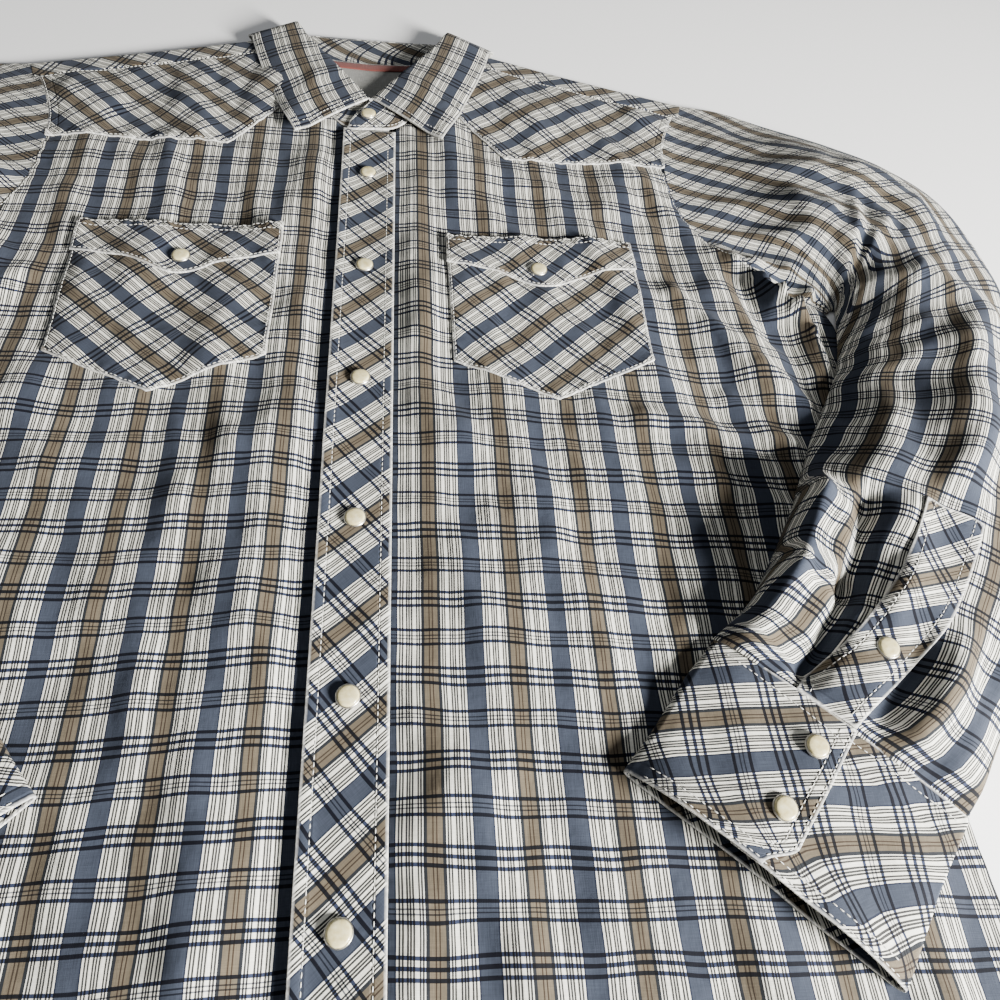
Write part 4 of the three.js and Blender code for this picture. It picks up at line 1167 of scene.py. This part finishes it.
MIRROR = np.array([-1, 1, 1])
stand_low, stand_high = ring(STAND_STATIONS, stand_edges)
half_stand = between(stand_low, stand_high, 12)
free_end = between([e[0] for e in STAND_FREE_END], [e[1] for e in STAND_FREE_END], 12)
over = lapped(half_stand, STAND_LAP)
under = lapped(half_stand, -STAND_LAP) * MIRROR
stand_rows = np.concatenate([free_end, over, under[::-1][1:], under[:1] + np.array([13, 2, 0])])
down, across = run_lengths(stand_rows)
stand = sheet_from_rows(
    "collar_stand", stand_rows, turned(across, down, 42), edge_distance(stand_rows), 1.1
)
finish_cloth(stand, BAND_PLAID)

# %% Collar
# fold x, fold y, free edge x, free edge y, side of the shirt
COLLAR_STATIONS = [
    (0.8, 334.5, 49, 292, "front"),
    (12.5, 352.5, 58, 312, "front"),
    (24.5, 371.5, 68, 341, "front"),
    (38.5, 393, 79, 373, "front"),
    (50, 411.5, 86, 398, "front"),
    (57, 426, 89.5, 411, "front"),
    (61, 431, 92.5, 416, "fold"),
    (58, 429, 88, 412.5, "back"),
    (45, 428, 70, 396, "back"),
    (24, 427, 38, 386, "back"),
    (0, 426, 0, 384, "back"),
]


def collar_edges(fold_x, fold_y, free_x, free_y, side):
    fold_z = by_side(side, stand_top(fold_x) + LAYER + 0.7, WALL / 2)
    free_z = by_side(side, float(front_height(free_x, free_y)) + 2 * LAYER + 1.2, WALL / 2)
    return (fold_x, fold_y, fold_z), (free_x, free_y, free_z)


fold_line, free_line = ring(COLLAR_STATIONS, collar_edges)
leaf = between(fold_line, free_line, 26)
outwards = np.linspace(0, 1, 26)[None, :]
round_neck = np.linspace(0, 1, RING_STEPS + 1)[:, None]
on_front = smooth_step(0.52, 0.44, round_neck)
belly = 1.5 * np.sin(math.pi * outwards) ** 0.8
curl = 0.5 * np.sin(9 * round_neck + 2 * outwards) * outwards
leaf[..., 2] += on_front * (belly + curl)
rest = front_top(leaf[..., 0], leaf[..., 1], 1) + 0.75
leaf[..., 2] = np.where(on_front > 0.5, np.maximum(leaf[..., 2], rest), leaf[..., 2])
roll = []
for angle in (15, 38, 64):
    a = math.radians(angle)
    start_z = stand_high[:, 2] + 0.9
    point = stand_high * math.cos(a) + fold_line * (1 - math.cos(a))
    point[:, 2] = start_z + (fold_line[:, 2] - start_z) * math.sin(a)
    roll.append(point)
roll = np.stack(roll, 1)
half_collar = np.concatenate([roll, leaf], 1)
half_collar[..., 2] = np.maximum(half_collar[..., 2], WALL / 2)
collar_rows = np.concatenate([half_collar, (half_collar * MIRROR)[::-1][1:]])
down, across = run_lengths(collar_rows)
from_free = across[:, -1:] - across
middle_run = down[:, 10:11] + 0 * down
blue_at = mix(14.5, 9.5, middle_run / middle_run.max())
collar_uv = np.stack([from_free - blue_at, middle_run - 20], -1)
collar_edge = np.minimum(from_free, np.minimum(down, down[-1] - down))
collar = sheet_from_rows("collar", collar_rows, collar_uv, collar_edge, 1.1)
finish_cloth(collar, EDGED_PLAID)

# %% [markdown]
# ## Sleeves
# Each sleeve is a flattened tube that runs out from its armhole, turns at the elbow and comes back
# over the front. Cross-sections are placed along two curves, its inner and outer fold, and every
# section rests on the table or on the body below. The bands run down the sleeve, and the picks
# cross them aslant at its head.

# %% Sleeve sections
# inner x, inner y, outer x, outer y, swell
SLEEVE_SECTIONS = [
    (286, 146, 233, 362, 0),
    (290, 147, 262, 359, 7),
    (293, 149, 300, 342, 14),
    (295, 149, 340, 324, 18),
    (295, 148, 376, 302, 20),
    (292, 142, 404, 270, 21),
    (289, 131, 417, 222, 22),
    (285, 116, 417, 165, 24),
    (279, 99, 408, 108, 26),
    (266, 75, 392, 52, 26),
    (245, 42, 366, -2, 25),
    (227, 8, 340, -48, 22),
    (206, -28, 314, -92, 18),
    (186, -55, 286, -126, 13),
    (164, -73, 258.5, -156, 7),
]
# start and end along the sleeve, place across it, width, height
SLEEVE_FOLDS = [
    (0.62, 0.97, 0.22, 0.09, 3),
    (0.1, 0.42, 0.72, 0.1, 5),
    (0.03, 0.3, 0.3, 0.1, 7),
    (0.5, 0.8, 0.6, 0.12, 6),
    (0.84, 1.0, 0.72, 0.08, 5),
]
# along and across the sleeve in mm, from and to, height, width
SLEEVE_CREASES = [
    (334, -62, 352, -58, 7.0, 5),
    (352, -58, 392, -56, 14.0, 9),
    (392, -56, 438, -53, 13.0, 12),
    (350, -32, 384, -28, -10.0, 6.5),
    (384, -28, 438, -22, -8.0, 5.5),
    (372, -6, 392, -8, 3.5, 7),
    (380, 30, 438, 28, 4.0, 9),
    (392, 10, 438, 12, -2.5, 5),
    (384, 52, 438, 46, 3.0, 6),
    (300, 20, 350, -14, 3.5, 9),
    (262, 60, 330, 40, 3.5, 9),
    (214, -50, 262, 6, 4.0, 9),
    (196, -10, 262, 58, 3.5, 9),
    (160, -60, 200, -20, 3.0, 8),
    (4, -24, 46, -40, 3.5, 6),
    (12, -50, 60, -76, 3.5, 6),
    (10, 0, 80, -20, 3.5, 9),
    (24, 36, 110, 20, 2.6, 9),
    (60, -4, 150, -34, 2.6, 10),
    (30, 60, 120, 56, 2.2, 8),
    (100, 40, 180, 70, 2.6, 9),
]
SLEEVE_LENGTH = 440
SLEEVE_ROLL = 1.35
GAUNTLET_SNAP = (403, -12)
INNER_EDGE = np.array(SLEEVE_SECTIONS, float)[:, [0, 1, 4]]
OUTER_EDGE = np.array(SLEEVE_SECTIONS, float)[:, [2, 3, 4]]


def body_rest(x, y):
    """What a sleeve or cuff rests on where it lies over the body."""
    return np.maximum(front_height(x, y) + WALL + RESTING_GAP, front_top(x, y) + 0.35)


def cuff_opening(part):
    """How far the upper layers of the cuff stand off the lowest at the wrist seam."""
    return 1 + 6 * np.sin(math.pi * np.clip(part, 0, 1)) ** 0.5


def under_sleeve(side, x, y, length):
    reach = side_x(y)
    over_body = smooth_step(26, 4, x - reach) * smooth_step(0.26, 0.38, length)
    return over_body * body_rest(side * x, y)


def sleeve_section(side, length, part):
    """Plan place, underside and top of the sleeve. length is one value for each row, and part
    the place across the width, from the inner to the outer fold, of each point of each row."""
    length = np.atleast_1d(np.asarray(length, float))
    part = np.broadcast_to(part, (len(length), np.shape(part)[-1]))
    inner = np.array([spline_at(INNER_EDGE, t) for t in length])
    outer = np.array([spline_at(OUTER_EDGE, t) for t in length])
    length = length[:, None]
    swell = inner[:, 2:]
    bow = np.clip(1 - length / 0.24, 0, 1) ** 2
    steps = np.arange(len(ARMHOLE))
    place = part * (len(ARMHOLE) - 1)
    width = np.linalg.norm(outer[:, :2] - inner[:, :2], axis=1)[:, None]
    plan = []
    for k in (0, 1):
        chord = mix(ARMHOLE[0][k], ARMHOLE[-1][k], part)
        straight = mix(inner[:, k : k + 1], outer[:, k : k + 1], part)
        plan.append(straight + bow * (np.interp(place, steps, ARMHOLE[:, k]) - chord))
    x, y = plan[0] - 0.3, plan[1]
    low = under_sleeve(side, x, y, length)
    arch = np.sin(math.pi * part)
    folds = np.zeros_like(part)
    for start, end, centre, spread, height in SLEEVE_FOLDS:
        fade = smooth_step(start, start + 0.08, length) * smooth_step(end, end - 0.06, length)
        folds = folds + fade * height * np.exp(-(((part - centre) / spread) ** 2))
    along_mm = length * SLEEVE_LENGTH + 0 * part
    across_mm = (part - 0.5) * width
    creases = ridges(along_mm, across_mm, SLEEVE_CREASES)
    snap_along, snap_across = GAUNTLET_SNAP
    calm = smooth_step(7, 17, np.hypot(along_mm - snap_along, across_mm - snap_across))
    sway = 0.8 * np.sin(along_mm / 19 + part * 9) + 0.6 * np.sin(along_mm / 11 - part * 13)
    near_edge = np.minimum(part, 1 - part) * width
    rounded = np.sqrt(np.clip(1 - (1 - np.minimum(near_edge, SLEEVE_ROLL) / SLEEVE_ROLL) ** 2, 0, 1))
    middle = low + SLEEVE_ROLL
    near_wrist = smooth_step(0.7, 0.82, length)
    boxy = mix(0.8, 0.27, near_wrist)
    top = middle + SLEEVE_ROLL * rounded + swell * arch ** boxy
    rumple = undulation(along_mm + 500 * side, across_mm) - 1.2
    loose = np.minimum(1, swell / 10) * (1 - 0.65 * near_wrist)
    rumpled = folds + creases + (sway + rumple) * loose
    top = top + rumpled * calm * arch ** mix(0.6, 0.3, near_wrist)
    top = np.maximum(top, middle + SLEEVE_ROLL * rounded + 0.8 * arch)
    seam_top = front_top(side * x, y) + LAYER * smooth_step(262, 300, y) - 0.25
    high = mix(top, seam_top, bow ** 2)
    mouth = body_rest(side * x, y) + WALL + cuff_opening(part) + LAYER * smooth_step(0.6, 0.5, part)
    high = mix(high, np.maximum(mouth - 0.4, middle + 0.6), smooth_step(0.972, 0.998, length))
    return x, y, middle - SLEEVE_ROLL * rounded, high, width


def part_steps(width, count):
    """Close together at the two folds, and even between them."""
    near = [SLEEVE_ROLL * (1 - math.cos(math.radians(a))) / width for a in (0, 30, 60, 90)]
    middle = np.linspace(2.2 * SLEEVE_ROLL / width, 1 - 2.2 * SLEEVE_ROLL / width, count)
    return np.array(near + list(middle) + [1 - v for v in near[::-1]])


# %% Sleeve tubes
def closed_sheet(name, rows, uv, edge, thickness):
    """A tube through closed rows. uv has one more column than rows, for the seam."""
    m, n = rows.shape[:2]
    index = np.arange(m * n).reshape(m, n)
    index = np.concatenate([index, index[:, :1]], 1)
    quads = np.stack([index[:-1, :-1], index[1:, :-1], index[1:, 1:], index[:-1, 1:]], -1)
    piece = new_piece(name, rows.reshape(-1, 3), quads.reshape(-1, 4).tolist())
    corners = np.stack([uv[:-1, :-1], uv[1:, :-1], uv[1:, 1:], uv[:-1, 1:]], 2)
    layer = piece.data.uv_layers.new(name="pattern")
    layer.data.foreach_set("uv", (corners * MM).ravel())
    set_edge(piece, edge.ravel())
    give_thickness(piece, thickness, -1.0, 0)
    return piece


TOP_COLUMNS = 64
UNDER_COLUMNS = 26
SLEEVE_ROWS = 150
SLEEVE_SHEET = 0.8
# place along the sleeve, how far its blue band has wandered from the outer fold
SLEEVE_GRAIN = [(0, 8), (0.03, 14), (0.08, 28), (0.12, 38), (0.19, 46), (0.28, 52), (1, 63)]
HEAD_SLANT = 1.24


def make_sleeve(side, name):
    lengths = np.linspace(0, 1, SLEEVE_ROWS + 1)
    width = sleeve_section(side, lengths, [0.5])[4]
    over = np.array([part_steps(float(w), TOP_COLUMNS) for w in width])
    under = np.array([part_steps(float(w), UNDER_COLUMNS)[1:-1][::-1] for w in width])
    x, y, _, high, _ = sleeve_section(side, lengths, over)
    under_x, under_y, low, _, _ = sleeve_section(side, lengths, under)
    mx, my, _, _, _ = sleeve_section(side, lengths, [0.5])
    steps = np.hypot(np.diff(mx[:, 0]), np.diff(my[:, 0]))
    along = np.concatenate([[0], np.cumsum(steps)])[:, None]
    top = np.stack([side * x, y, high], -1)
    bottom = np.stack([side * under_x, under_y, low], -1)
    rows = np.concatenate([top, bottom], 1)
    girth = run_lengths(np.concatenate([rows, rows[:, :1]], 1))[1]
    outer_fold = girth[:, over.shape[1] - 1 : over.shape[1]]
    drift = np.interp(lengths, *np.array(SLEEVE_GRAIN).T)[:, None]
    u = girth - outer_fold
    slant = HEAD_SLANT * smooth_step(0.5, 0.2, lengths)[:, None]
    uv = np.stack([u + drift, along - slant * (u + width / 2)], -1)
    edge = np.minimum(along, along.max() - along) + 0 * rows[..., 0]
    if side < 0:
        rows, uv, edge = rows[::-1], uv[::-1], edge[::-1]
    CUT[name] = (2 * float(width.max()), float(along.max()), float((2 * width[1:, 0] * steps).sum()))
    return closed_sheet(name, rows, uv, edge, SLEEVE_SHEET)


for side, name in ((1, "sleeve_left"), (-1, "sleeve_right")):
    sleeve = make_sleeve(side, name)
    finish_cloth(sleeve, PLAIN_PLAID)
    print(name, len(sleeve.data.polygons), "faces")

# %% [markdown]
# ## Cuffs and gauntlets
# A cuff is one stiff band. It starts at its free end on top, goes round both folds and ends
# beneath itself, and it stands a little open. The gauntlet is the narrow bound strip on the sleeve
# above the cuff's free end.

# %% Cuffs
CUFF_HEIGHT = 76
CUFF_WIDTH = 126
CUFF_OVERLAP = 70
CUFF_UNDERLAP = 46
CUFF_BEVEL = 11
CUFF_FOLD_INSET = 2.5
CUFF_SEAM = -1.0
CUFF_GRAIN = 41.3
WRIST_INNER = np.array([164.0, -73.0])
WRIST_OUTER = np.array([258.5, -156.0])
cuff_across = (WRIST_OUTER - WRIST_INNER) / np.linalg.norm(WRIST_OUTER - WRIST_INNER)
cuff_down = np.array([cuff_across[1], -cuff_across[0]])


def cuff_plan(side, a, v):
    x = WRIST_INNER[0] + cuff_across[0] * a + cuff_down[0] * v
    y = WRIST_INNER[1] + cuff_across[1] * a + cuff_down[1] * v
    return side * x, y


def cuff_height(side, a, v, name):
    """Height of the middle of the lowest, the under or the over layer."""
    x, y = cuff_plan(side, a, v)
    low = front_height(x, y) + WALL + RESTING_GAP
    part = a / CUFF_WIDTH
    arch = np.sin(math.pi * np.clip(part, 0, 1)) ** 0.5
    mouth = cuff_opening(part) + 2.5 * v / CUFF_HEIGHT * arch
    buckle = 0.5 * np.sin(a / 11 + v / 17) + 0.35 * np.sin(a / 6.1 - v / 9)
    buckle = buckle * smooth_step(0, 10, v) + 4.5 * smooth_step(54, CUFF_HEIGHT, v) * arch
    if name == "bottom":
        return np.maximum(low, body_rest(x, y)) + WALL / 2
    return low + WALL + mouth + WALL / 2 + buckle + (LAYER if name == "over" else 0)


def cuff_rows(side, downs):
    v = downs[:, None]
    bevel = CUFF_BEVEL * smooth_step(59, CUFF_HEIGHT, v)
    near, far = CUFF_FOLD_INSET, CUFF_WIDTH - CUFF_FOLD_INSET
    strips = []

    def layer(name, start, end, steps):
        a = mix(start + 0 * v, end, np.linspace(0, 1, steps + 1))
        strips.append(np.stack([*cuff_plan(side, a, v + 0 * a), cuff_height(side, a, v, name)], -1))

    def fold(a, direction, before, after):
        start, end = (cuff_height(side, a + 0 * v, v, name) for name in (before, after))
        t = np.radians([18, 54, 90, 126, 162])[None, :]
        out = a + direction * np.abs(end - start) / 2 * np.sin(t)
        z = mix(start, end, (1 - np.cos(t)) / 2)
        strips.append(np.stack([*cuff_plan(side, out, v + 0 * out), z], -1))

    layer("over", CUFF_OVERLAP - bevel, near, 28)
    fold(near, -1, "over", "bottom")
    layer("bottom", near, far, 24)
    fold(far, 1, "bottom", "under")
    layer("under", far, CUFF_UNDERLAP, 32)
    return np.concatenate(strips, 1)


CUFF_BLUE = -27.0
for side, name in ((1, "cuff_left"), (-1, "cuff_right")):
    rows = cuff_rows(side, np.linspace(CUFF_SEAM, CUFF_HEIGHT, 40))
    down, across = run_lengths(rows)
    from_end = across + (CUFF_BEVEL * smooth_step(59, CUFF_HEIGHT, down))
    cuff_uv = turned(down, from_end, CUFF_GRAIN) - np.array([CUFF_BLUE, 0])
    rows, cuff_uv = (rows[::-1], cuff_uv[::-1]) if side < 0 else (rows, cuff_uv)
    edge = edge_distance(rows)
    cuff = sheet_from_rows(name, rows, cuff_uv, edge, 1.15)
    finish_cloth(cuff, EDGED_PLAID)

# %% Gauntlets
GAUNTLET_ROWS = {}
for side, name in ((1, "gauntlet_left"), (-1, "gauntlet_right")):
    lengths = np.linspace(17 / 22, 0.998, 44)
    level = np.linspace(0.32, 0.55, 14)
    turned_by = 0.14 * smooth_step(0.4, 0.6, lengths) * smooth_step(1, 0.78, lengths)
    part = level + turned_by[:, None] * np.sin(math.pi * level)
    x, y, _, high, _ = sleeve_section(side, lengths, part)
    rows = np.stack([side * x, y, high + 0.3 + WALL / 2], -1)[:, ::-side]
    down, across = run_lengths(rows)
    strip = sheet_from_rows(name, rows, turned(across, down, 45), edge_distance(rows), 1.0)
    finish_cloth(strip, BAND_PLAID)
    GAUNTLET_ROWS[name] = rows

# %% [markdown]
# ## Top stitching
# The seams are held flat by rows of pale thread. One stitch is a small grain of thread, and a row
# repeats it along a line on the cloth at the real stitch length. Every stitch of a piece goes
# into one mesh, so that it can be picked up with its piece.

# %% One stitch and rows of it
STITCH_PITCH = 2.9
STITCH_HALF = 1.05
STITCH_ON_CUFF = 0.72
STITCH_ON_GAUNTLET = 0.65
THREAD_WIDE = 0.26
THREAD_HIGH = 0.2


def one_stitch():
    bpy.ops.object.select_all(action="DESELECT")
    bpy.ops.mesh.primitive_uv_sphere_add(segments=6, ring_count=4, radius=1)
    grain_object = bpy.context.object
    bpy.ops.object.mode_set(mode="EDIT")
    bpy.ops.mesh.select_all(action="SELECT")
    quarter_turn = {"value": math.pi / 2, "orient_axis": "Y", "center_override": (0, 0, 0)}
    bpy.ops.transform.rotate(**quarter_turn)
    bpy.ops.object.mode_set(mode="OBJECT")
    points = np.array([tuple(v.co) for v in grain_object.data.vertices])
    faces = [tuple(p.vertices) for p in grain_object.data.polygons]
    bpy.data.objects.remove(grain_object)
    return points * np.array([STITCH_HALF, THREAD_WIDE, THREAD_HIGH]), faces


STITCH_POINTS, STITCH_FACES = one_stitch()


def places_along(line):
    line = np.asarray(line, float)
    run = np.concatenate([[0], np.cumsum(np.linalg.norm(np.diff(line, axis=0), axis=1))])
    places = np.arange(STITCH_PITCH / 2, run[-1] - STITCH_PITCH / 3, STITCH_PITCH)

    def at(distance):
        return np.stack([np.interp(distance, run, line[:, k]) for k in range(3)], -1)

    ahead = at(places + 0.6) - at(places - 0.6)
    length = np.linalg.norm(ahead, axis=1, keepdims=True)
    return at(places), ahead / np.maximum(length, 1e-6)


def thread_material():
    material = bpy.data.materials.new("pale_thread")
    material.use_nodes = True
    tree = material.node_tree
    surface = tree.nodes["Principled BSDF"]
    place = add_node(tree, "ShaderNodeTexCoord")
    fuzz = noise(tree, place.outputs["Object"], 1500.0, 2.0)
    shades = [(0.3, (0.42, 0.41, 0.38)), (0.7, (0.78, 0.77, 0.72))]
    tree.links.new(ramp(tree, fuzz, shades, "LINEAR"), surface.inputs["Base Color"])
    surface.inputs["Roughness"].default_value = 0.7
    surface.inputs["Sheen Weight"].default_value = 0.15
    return material


PALE_THREAD = thread_material()


def sew(name, lines):
    """All the stitches of one piece, as one mesh."""
    points, faces = [], []
    for line in lines:
        for centre, ahead in zip(*places_along(line)):
            side = np.cross((0, 0, 1), ahead)
            side = side / max(np.linalg.norm(side), 1e-6)
            up = np.cross(ahead, side)
            first = len(points) * len(STITCH_POINTS)
            points.append(centre + STITCH_POINTS @ np.stack([ahead, side, up]))
            faces += [tuple(first + v for v in face) for face in STITCH_FACES]
    seam = new_piece(name, np.concatenate(points), faces)
    seam.data.materials.append(PALE_THREAD)
    only(seam)
    bpy.ops.object.shade_smooth()
    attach(seam, "root")
    print(name, len(points), "stitches")
    return seam


# %% Where the rows run
def inset(points, distance):
    """A closed outline moved inwards, with its corners kept sharp."""
    points = without_repeats(points)
    area = sum(x0 * y1 - x1 * y0 for (x0, y0), (x1, y1) in zip(points, points[1:] + points[:1]))
    inward = distance if area > 0 else -distance
    out = []
    for before, here, after in zip(points[-1:] + points[:-1], points, points[1:] + points[:1]):
        a = np.subtract(here, before) / math.dist(here, before)
        b = np.subtract(after, here) / math.dist(here, after)
        normal = np.array([-a[1] - b[1], a[0] + b[0]])
        share = max(0.35, float(normal @ normal) / 2)
        out.append(tuple(np.array(here) + normal * inward / share))
    return out


def on_cloth(points, top, lift=0.1):
    """A flat line laid on the cloth, with a point every 2 mm or so."""
    points = [tuple(p) for p in points]
    fine = []
    for (x0, y0), (x1, y1) in zip(points[:-1], points[1:]):
        steps = max(1, math.ceil(math.hypot(x1 - x0, y1 - y0) / 2))
        fine += [(mix(x0, x1, k / steps), mix(y0, y1, k / steps)) for k in range(steps)]
    xy = np.array(fine + [points[-1]])
    return np.column_stack([xy, top(xy[:, 0], xy[:, 1]) + lift])


def both_sides(line):
    return [line, line * MIRROR]


def placed(points, side):
    """The same line on the wearer's left, or mirrored to the right."""
    return [(side * x, y) for x, y in points]


STITCHES = {
    "placket": [
        on_cloth([(side * 12.5, 300), (side * 12.5, -388)], placket_top) for side in (1, -1)
    ],
    "hem": [
        on_cloth([(x, y + 7) for x, y in hem(side * 19, side * 258, 40)], front_top) for side in (1, -1)
    ],
}
pocket_row = inset(pocket_outline, 1.6)[::-1]
flap_row = inset(flap_outline, 1.7)
yoke_row = inset(yoke_outline, 1.7)
armhole_row = [tuple(p) for p in ARMHOLE if p[1] < YOKE["level"] - 2]
for side, name in ((1, "left"), (-1, "right")):
    STITCHES["pocket_" + name] = [on_cloth(placed(pocket_row, side), layer_top(1))]
    flap_top_row = [(POCKET["inner"] + 1, POCKET["top"] - 6), (POCKET["outer"] - 1, POCKET["top"] - 6)]
    STITCHES["flap_" + name] = [
        on_cloth(placed(flap_row + flap_row[:1], side), layer_top(2)),
        on_cloth(placed(flap_top_row, side), layer_top(2)),
    ]
    lower_edge = [yoke_row[-1], yoke_row[0], yoke_row[1]]
    along_armhole = yoke_row[1:-1]
    STITCHES["yoke_" + name] = [
        on_cloth(placed(lower_edge, side), layer_top(1)),
        on_cloth(placed(along_armhole, side), layer_top(1)),
    ]
    beside = [(x - 1.7, y - 0.6) for x, y in armhole_row[3:]]
    STITCHES["armhole_" + name] = [on_cloth(placed(beside, side), front_top)]
for name, lines in STITCHES.items():
    sew("stitches_" + name, lines)


# %% Rows on the collar and the cuffs
def level_line(rows, measure, value, lift):
    """The line through the rows where their measure has a value, lifted off the cloth."""
    line = []
    for row, run in zip(rows, measure):
        order = np.argsort(run)
        line.append([np.interp(value, run[order], row[order, k]) for k in range(3)])
    return np.array(line) + np.array([0, 0, lift])


leaf_rows = half_collar[:, 4:]
leaf_from_free = run_lengths(leaf_rows)[1]
leaf_from_free = leaf_from_free[:, -1:] - leaf_from_free
long_row = level_line(leaf_rows, leaf_from_free, 6, 0.65)[1:38]
front_leaf = leaf_rows.transpose(1, 0, 2)
leaf_from_front = run_lengths(front_leaf)[1]
short_row = level_line(front_leaf, leaf_from_front, 6, 0.65)[:-3]
sew("stitches_collar", both_sides(long_row) + both_sides(short_row))
neck_row = level_line(stand_rows[:30], run_lengths(stand_rows)[1][:30], 3, 0.7)
sew("stitches_stand", [neck_row])
for side, name in ((1, "left"), (-1, "right")):
    rows = cuff_rows(side, np.linspace(CUFF_SEAM, CUFF_HEIGHT, 40))
    over, under = rows[:, :29], rows[:, -33:]
    lines = []
    for part in (over, under):
        columns = part.transpose(1, 0, 2)
        from_hem = run_lengths(columns)[1]
        from_hem = from_hem[:, -1:] - from_hem
        lines.append(level_line(columns, from_hem, 6.5, STITCH_ON_CUFF)[2:-1])
        lines.append(level_line(columns, from_hem, 1.8, STITCH_ON_CUFF)[1:-1])
        lines.append(level_line(columns, from_hem, CUFF_HEIGHT - 4, STITCH_ON_CUFF)[1:-1])
    from_free = run_lengths(over)[1]
    lines.append(level_line(over, from_free, 6.5, STITCH_ON_CUFF)[2:-4])
    lines.append(level_line(over, from_free, 1.8, STITCH_ON_CUFF)[1:-1])
    sew("stitches_cuff_" + name, lines)
for name, rows in GAUNTLET_ROWS.items():
    from_left = run_lengths(rows)[1]
    from_right = from_left[:, -1:] - from_left
    sides = (from_left, from_right)
    lines = [level_line(rows, away, BAND_SEAM, STITCH_ON_GAUNTLET)[:-1] for away in sides]
    sew("stitches_" + name, lines)

# %% [markdown]
# ## Pearl snaps
# A pearl snap is a domed nacre cap held by a thin metal rim. Its half profile is drawn once and
# spun round its axis. Every snap on the shirt is a copy of that one.

# %% Snap finishes
def pearl_material():
    material = bpy.data.materials.new("pearl")
    material.use_nodes = True
    tree = material.node_tree
    surface = tree.nodes["Principled BSDF"]
    place = add_node(tree, "ShaderNodeTexCoord")
    clouds = noise(tree, place.outputs["Object"], 420.0, 3.0)
    shades = [(0.3, (0.50, 0.42, 0.20)), (0.55, (0.62, 0.55, 0.30)), (0.75, (0.70, 0.65, 0.42))]
    tree.links.new(ramp(tree, clouds, shades, "LINEAR"), surface.inputs["Base Color"])
    surface.inputs["Roughness"].default_value = 0.3
    surface.inputs["Coat Weight"].default_value = 0.45
    surface.inputs["Coat Roughness"].default_value = 0.08
    return material


def rim_material():
    material = bpy.data.materials.new("snap_rim")
    material.use_nodes = True
    tree = material.node_tree
    surface = tree.nodes["Principled BSDF"]
    place = add_node(tree, "ShaderNodeTexCoord")
    rubbed = noise(tree, place.outputs["Object"], 900.0, 2.0)
    shades = [(0.35, (0.42, 0.40, 0.36)), (0.7, (0.72, 0.70, 0.65))]
    tree.links.new(ramp(tree, rubbed, shades, "LINEAR"), surface.inputs["Base Color"])
    surface.inputs["Metallic"].default_value = 1.0
    surface.inputs["Roughness"].default_value = 0.35
    return material


# %% One snap, spun from its profile
RIM_INNER = 4.7
# radius, height
SNAP_PROFILE = [
    (0.0, 0.0),
    (5.0, 0.0),
    (5.35, 0.25),
    (5.4, 0.7),
    (5.3, 1.1),
    (5.05, 1.3),
    (4.9, 1.28),
    (4.75, 1.2),
    (4.65, 1.6),
    (4.35, 2.0),
    (3.7, 2.24),
    (2.2, 2.37),
    (0.0, 2.42),
]


def spin_snap():
    mesh = bpy.data.meshes.new("snap")
    points = [(r * MM, 0, z * MM) for r, z in SNAP_PROFILE]
    mesh.from_pydata(points, [(k, k + 1) for k in range(len(points) - 1)], [])
    snap = bpy.data.objects.new("snap", mesh)
    bpy.context.scene.collection.objects.link(snap)
    only(snap)
    bpy.ops.object.mode_set(mode="EDIT")
    bpy.ops.mesh.select_all(action="SELECT")
    bpy.ops.mesh.spin(steps=36, angle=2 * math.pi, center=(0, 0, 0), axis=(0, 0, 1))
    bpy.ops.mesh.select_all(action="SELECT")
    bpy.ops.mesh.remove_doubles(threshold=0.00001)
    bpy.ops.mesh.normals_make_consistent(inside=False)
    bpy.ops.object.mode_set(mode="OBJECT")
    snap.data.materials.append(pearl_material())
    snap.data.materials.append(rim_material())
    for face in snap.data.polygons:
        out = math.hypot(face.center.x, face.center.y) / MM
        face.material_index = 1 if out > RIM_INNER else 0
    bpy.ops.object.shade_smooth_by_angle(angle=math.radians(40))
    return snap


# %% Placing the snaps
pattern_snap = spin_snap()


def place_snap(node):
    low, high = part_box(node)
    middle = (Vector(low) + Vector(high)) / 2
    snap = pattern_snap.copy()
    snap.data = pattern_snap.data.copy()
    snap.name = "pearl_" + node
    bpy.context.scene.collection.objects.link(snap)
    snap.data.transform(Matrix.Translation((middle.x, middle.y, low[2])))
    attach(snap, "root")
    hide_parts(node)
    return snap


SNAP_NODES = sorted(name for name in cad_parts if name.startswith("snap_"))
for node in SNAP_NODES:
    place_snap(node)
bpy.data.objects.remove(pattern_snap)
print(len(SNAP_NODES), "snaps")
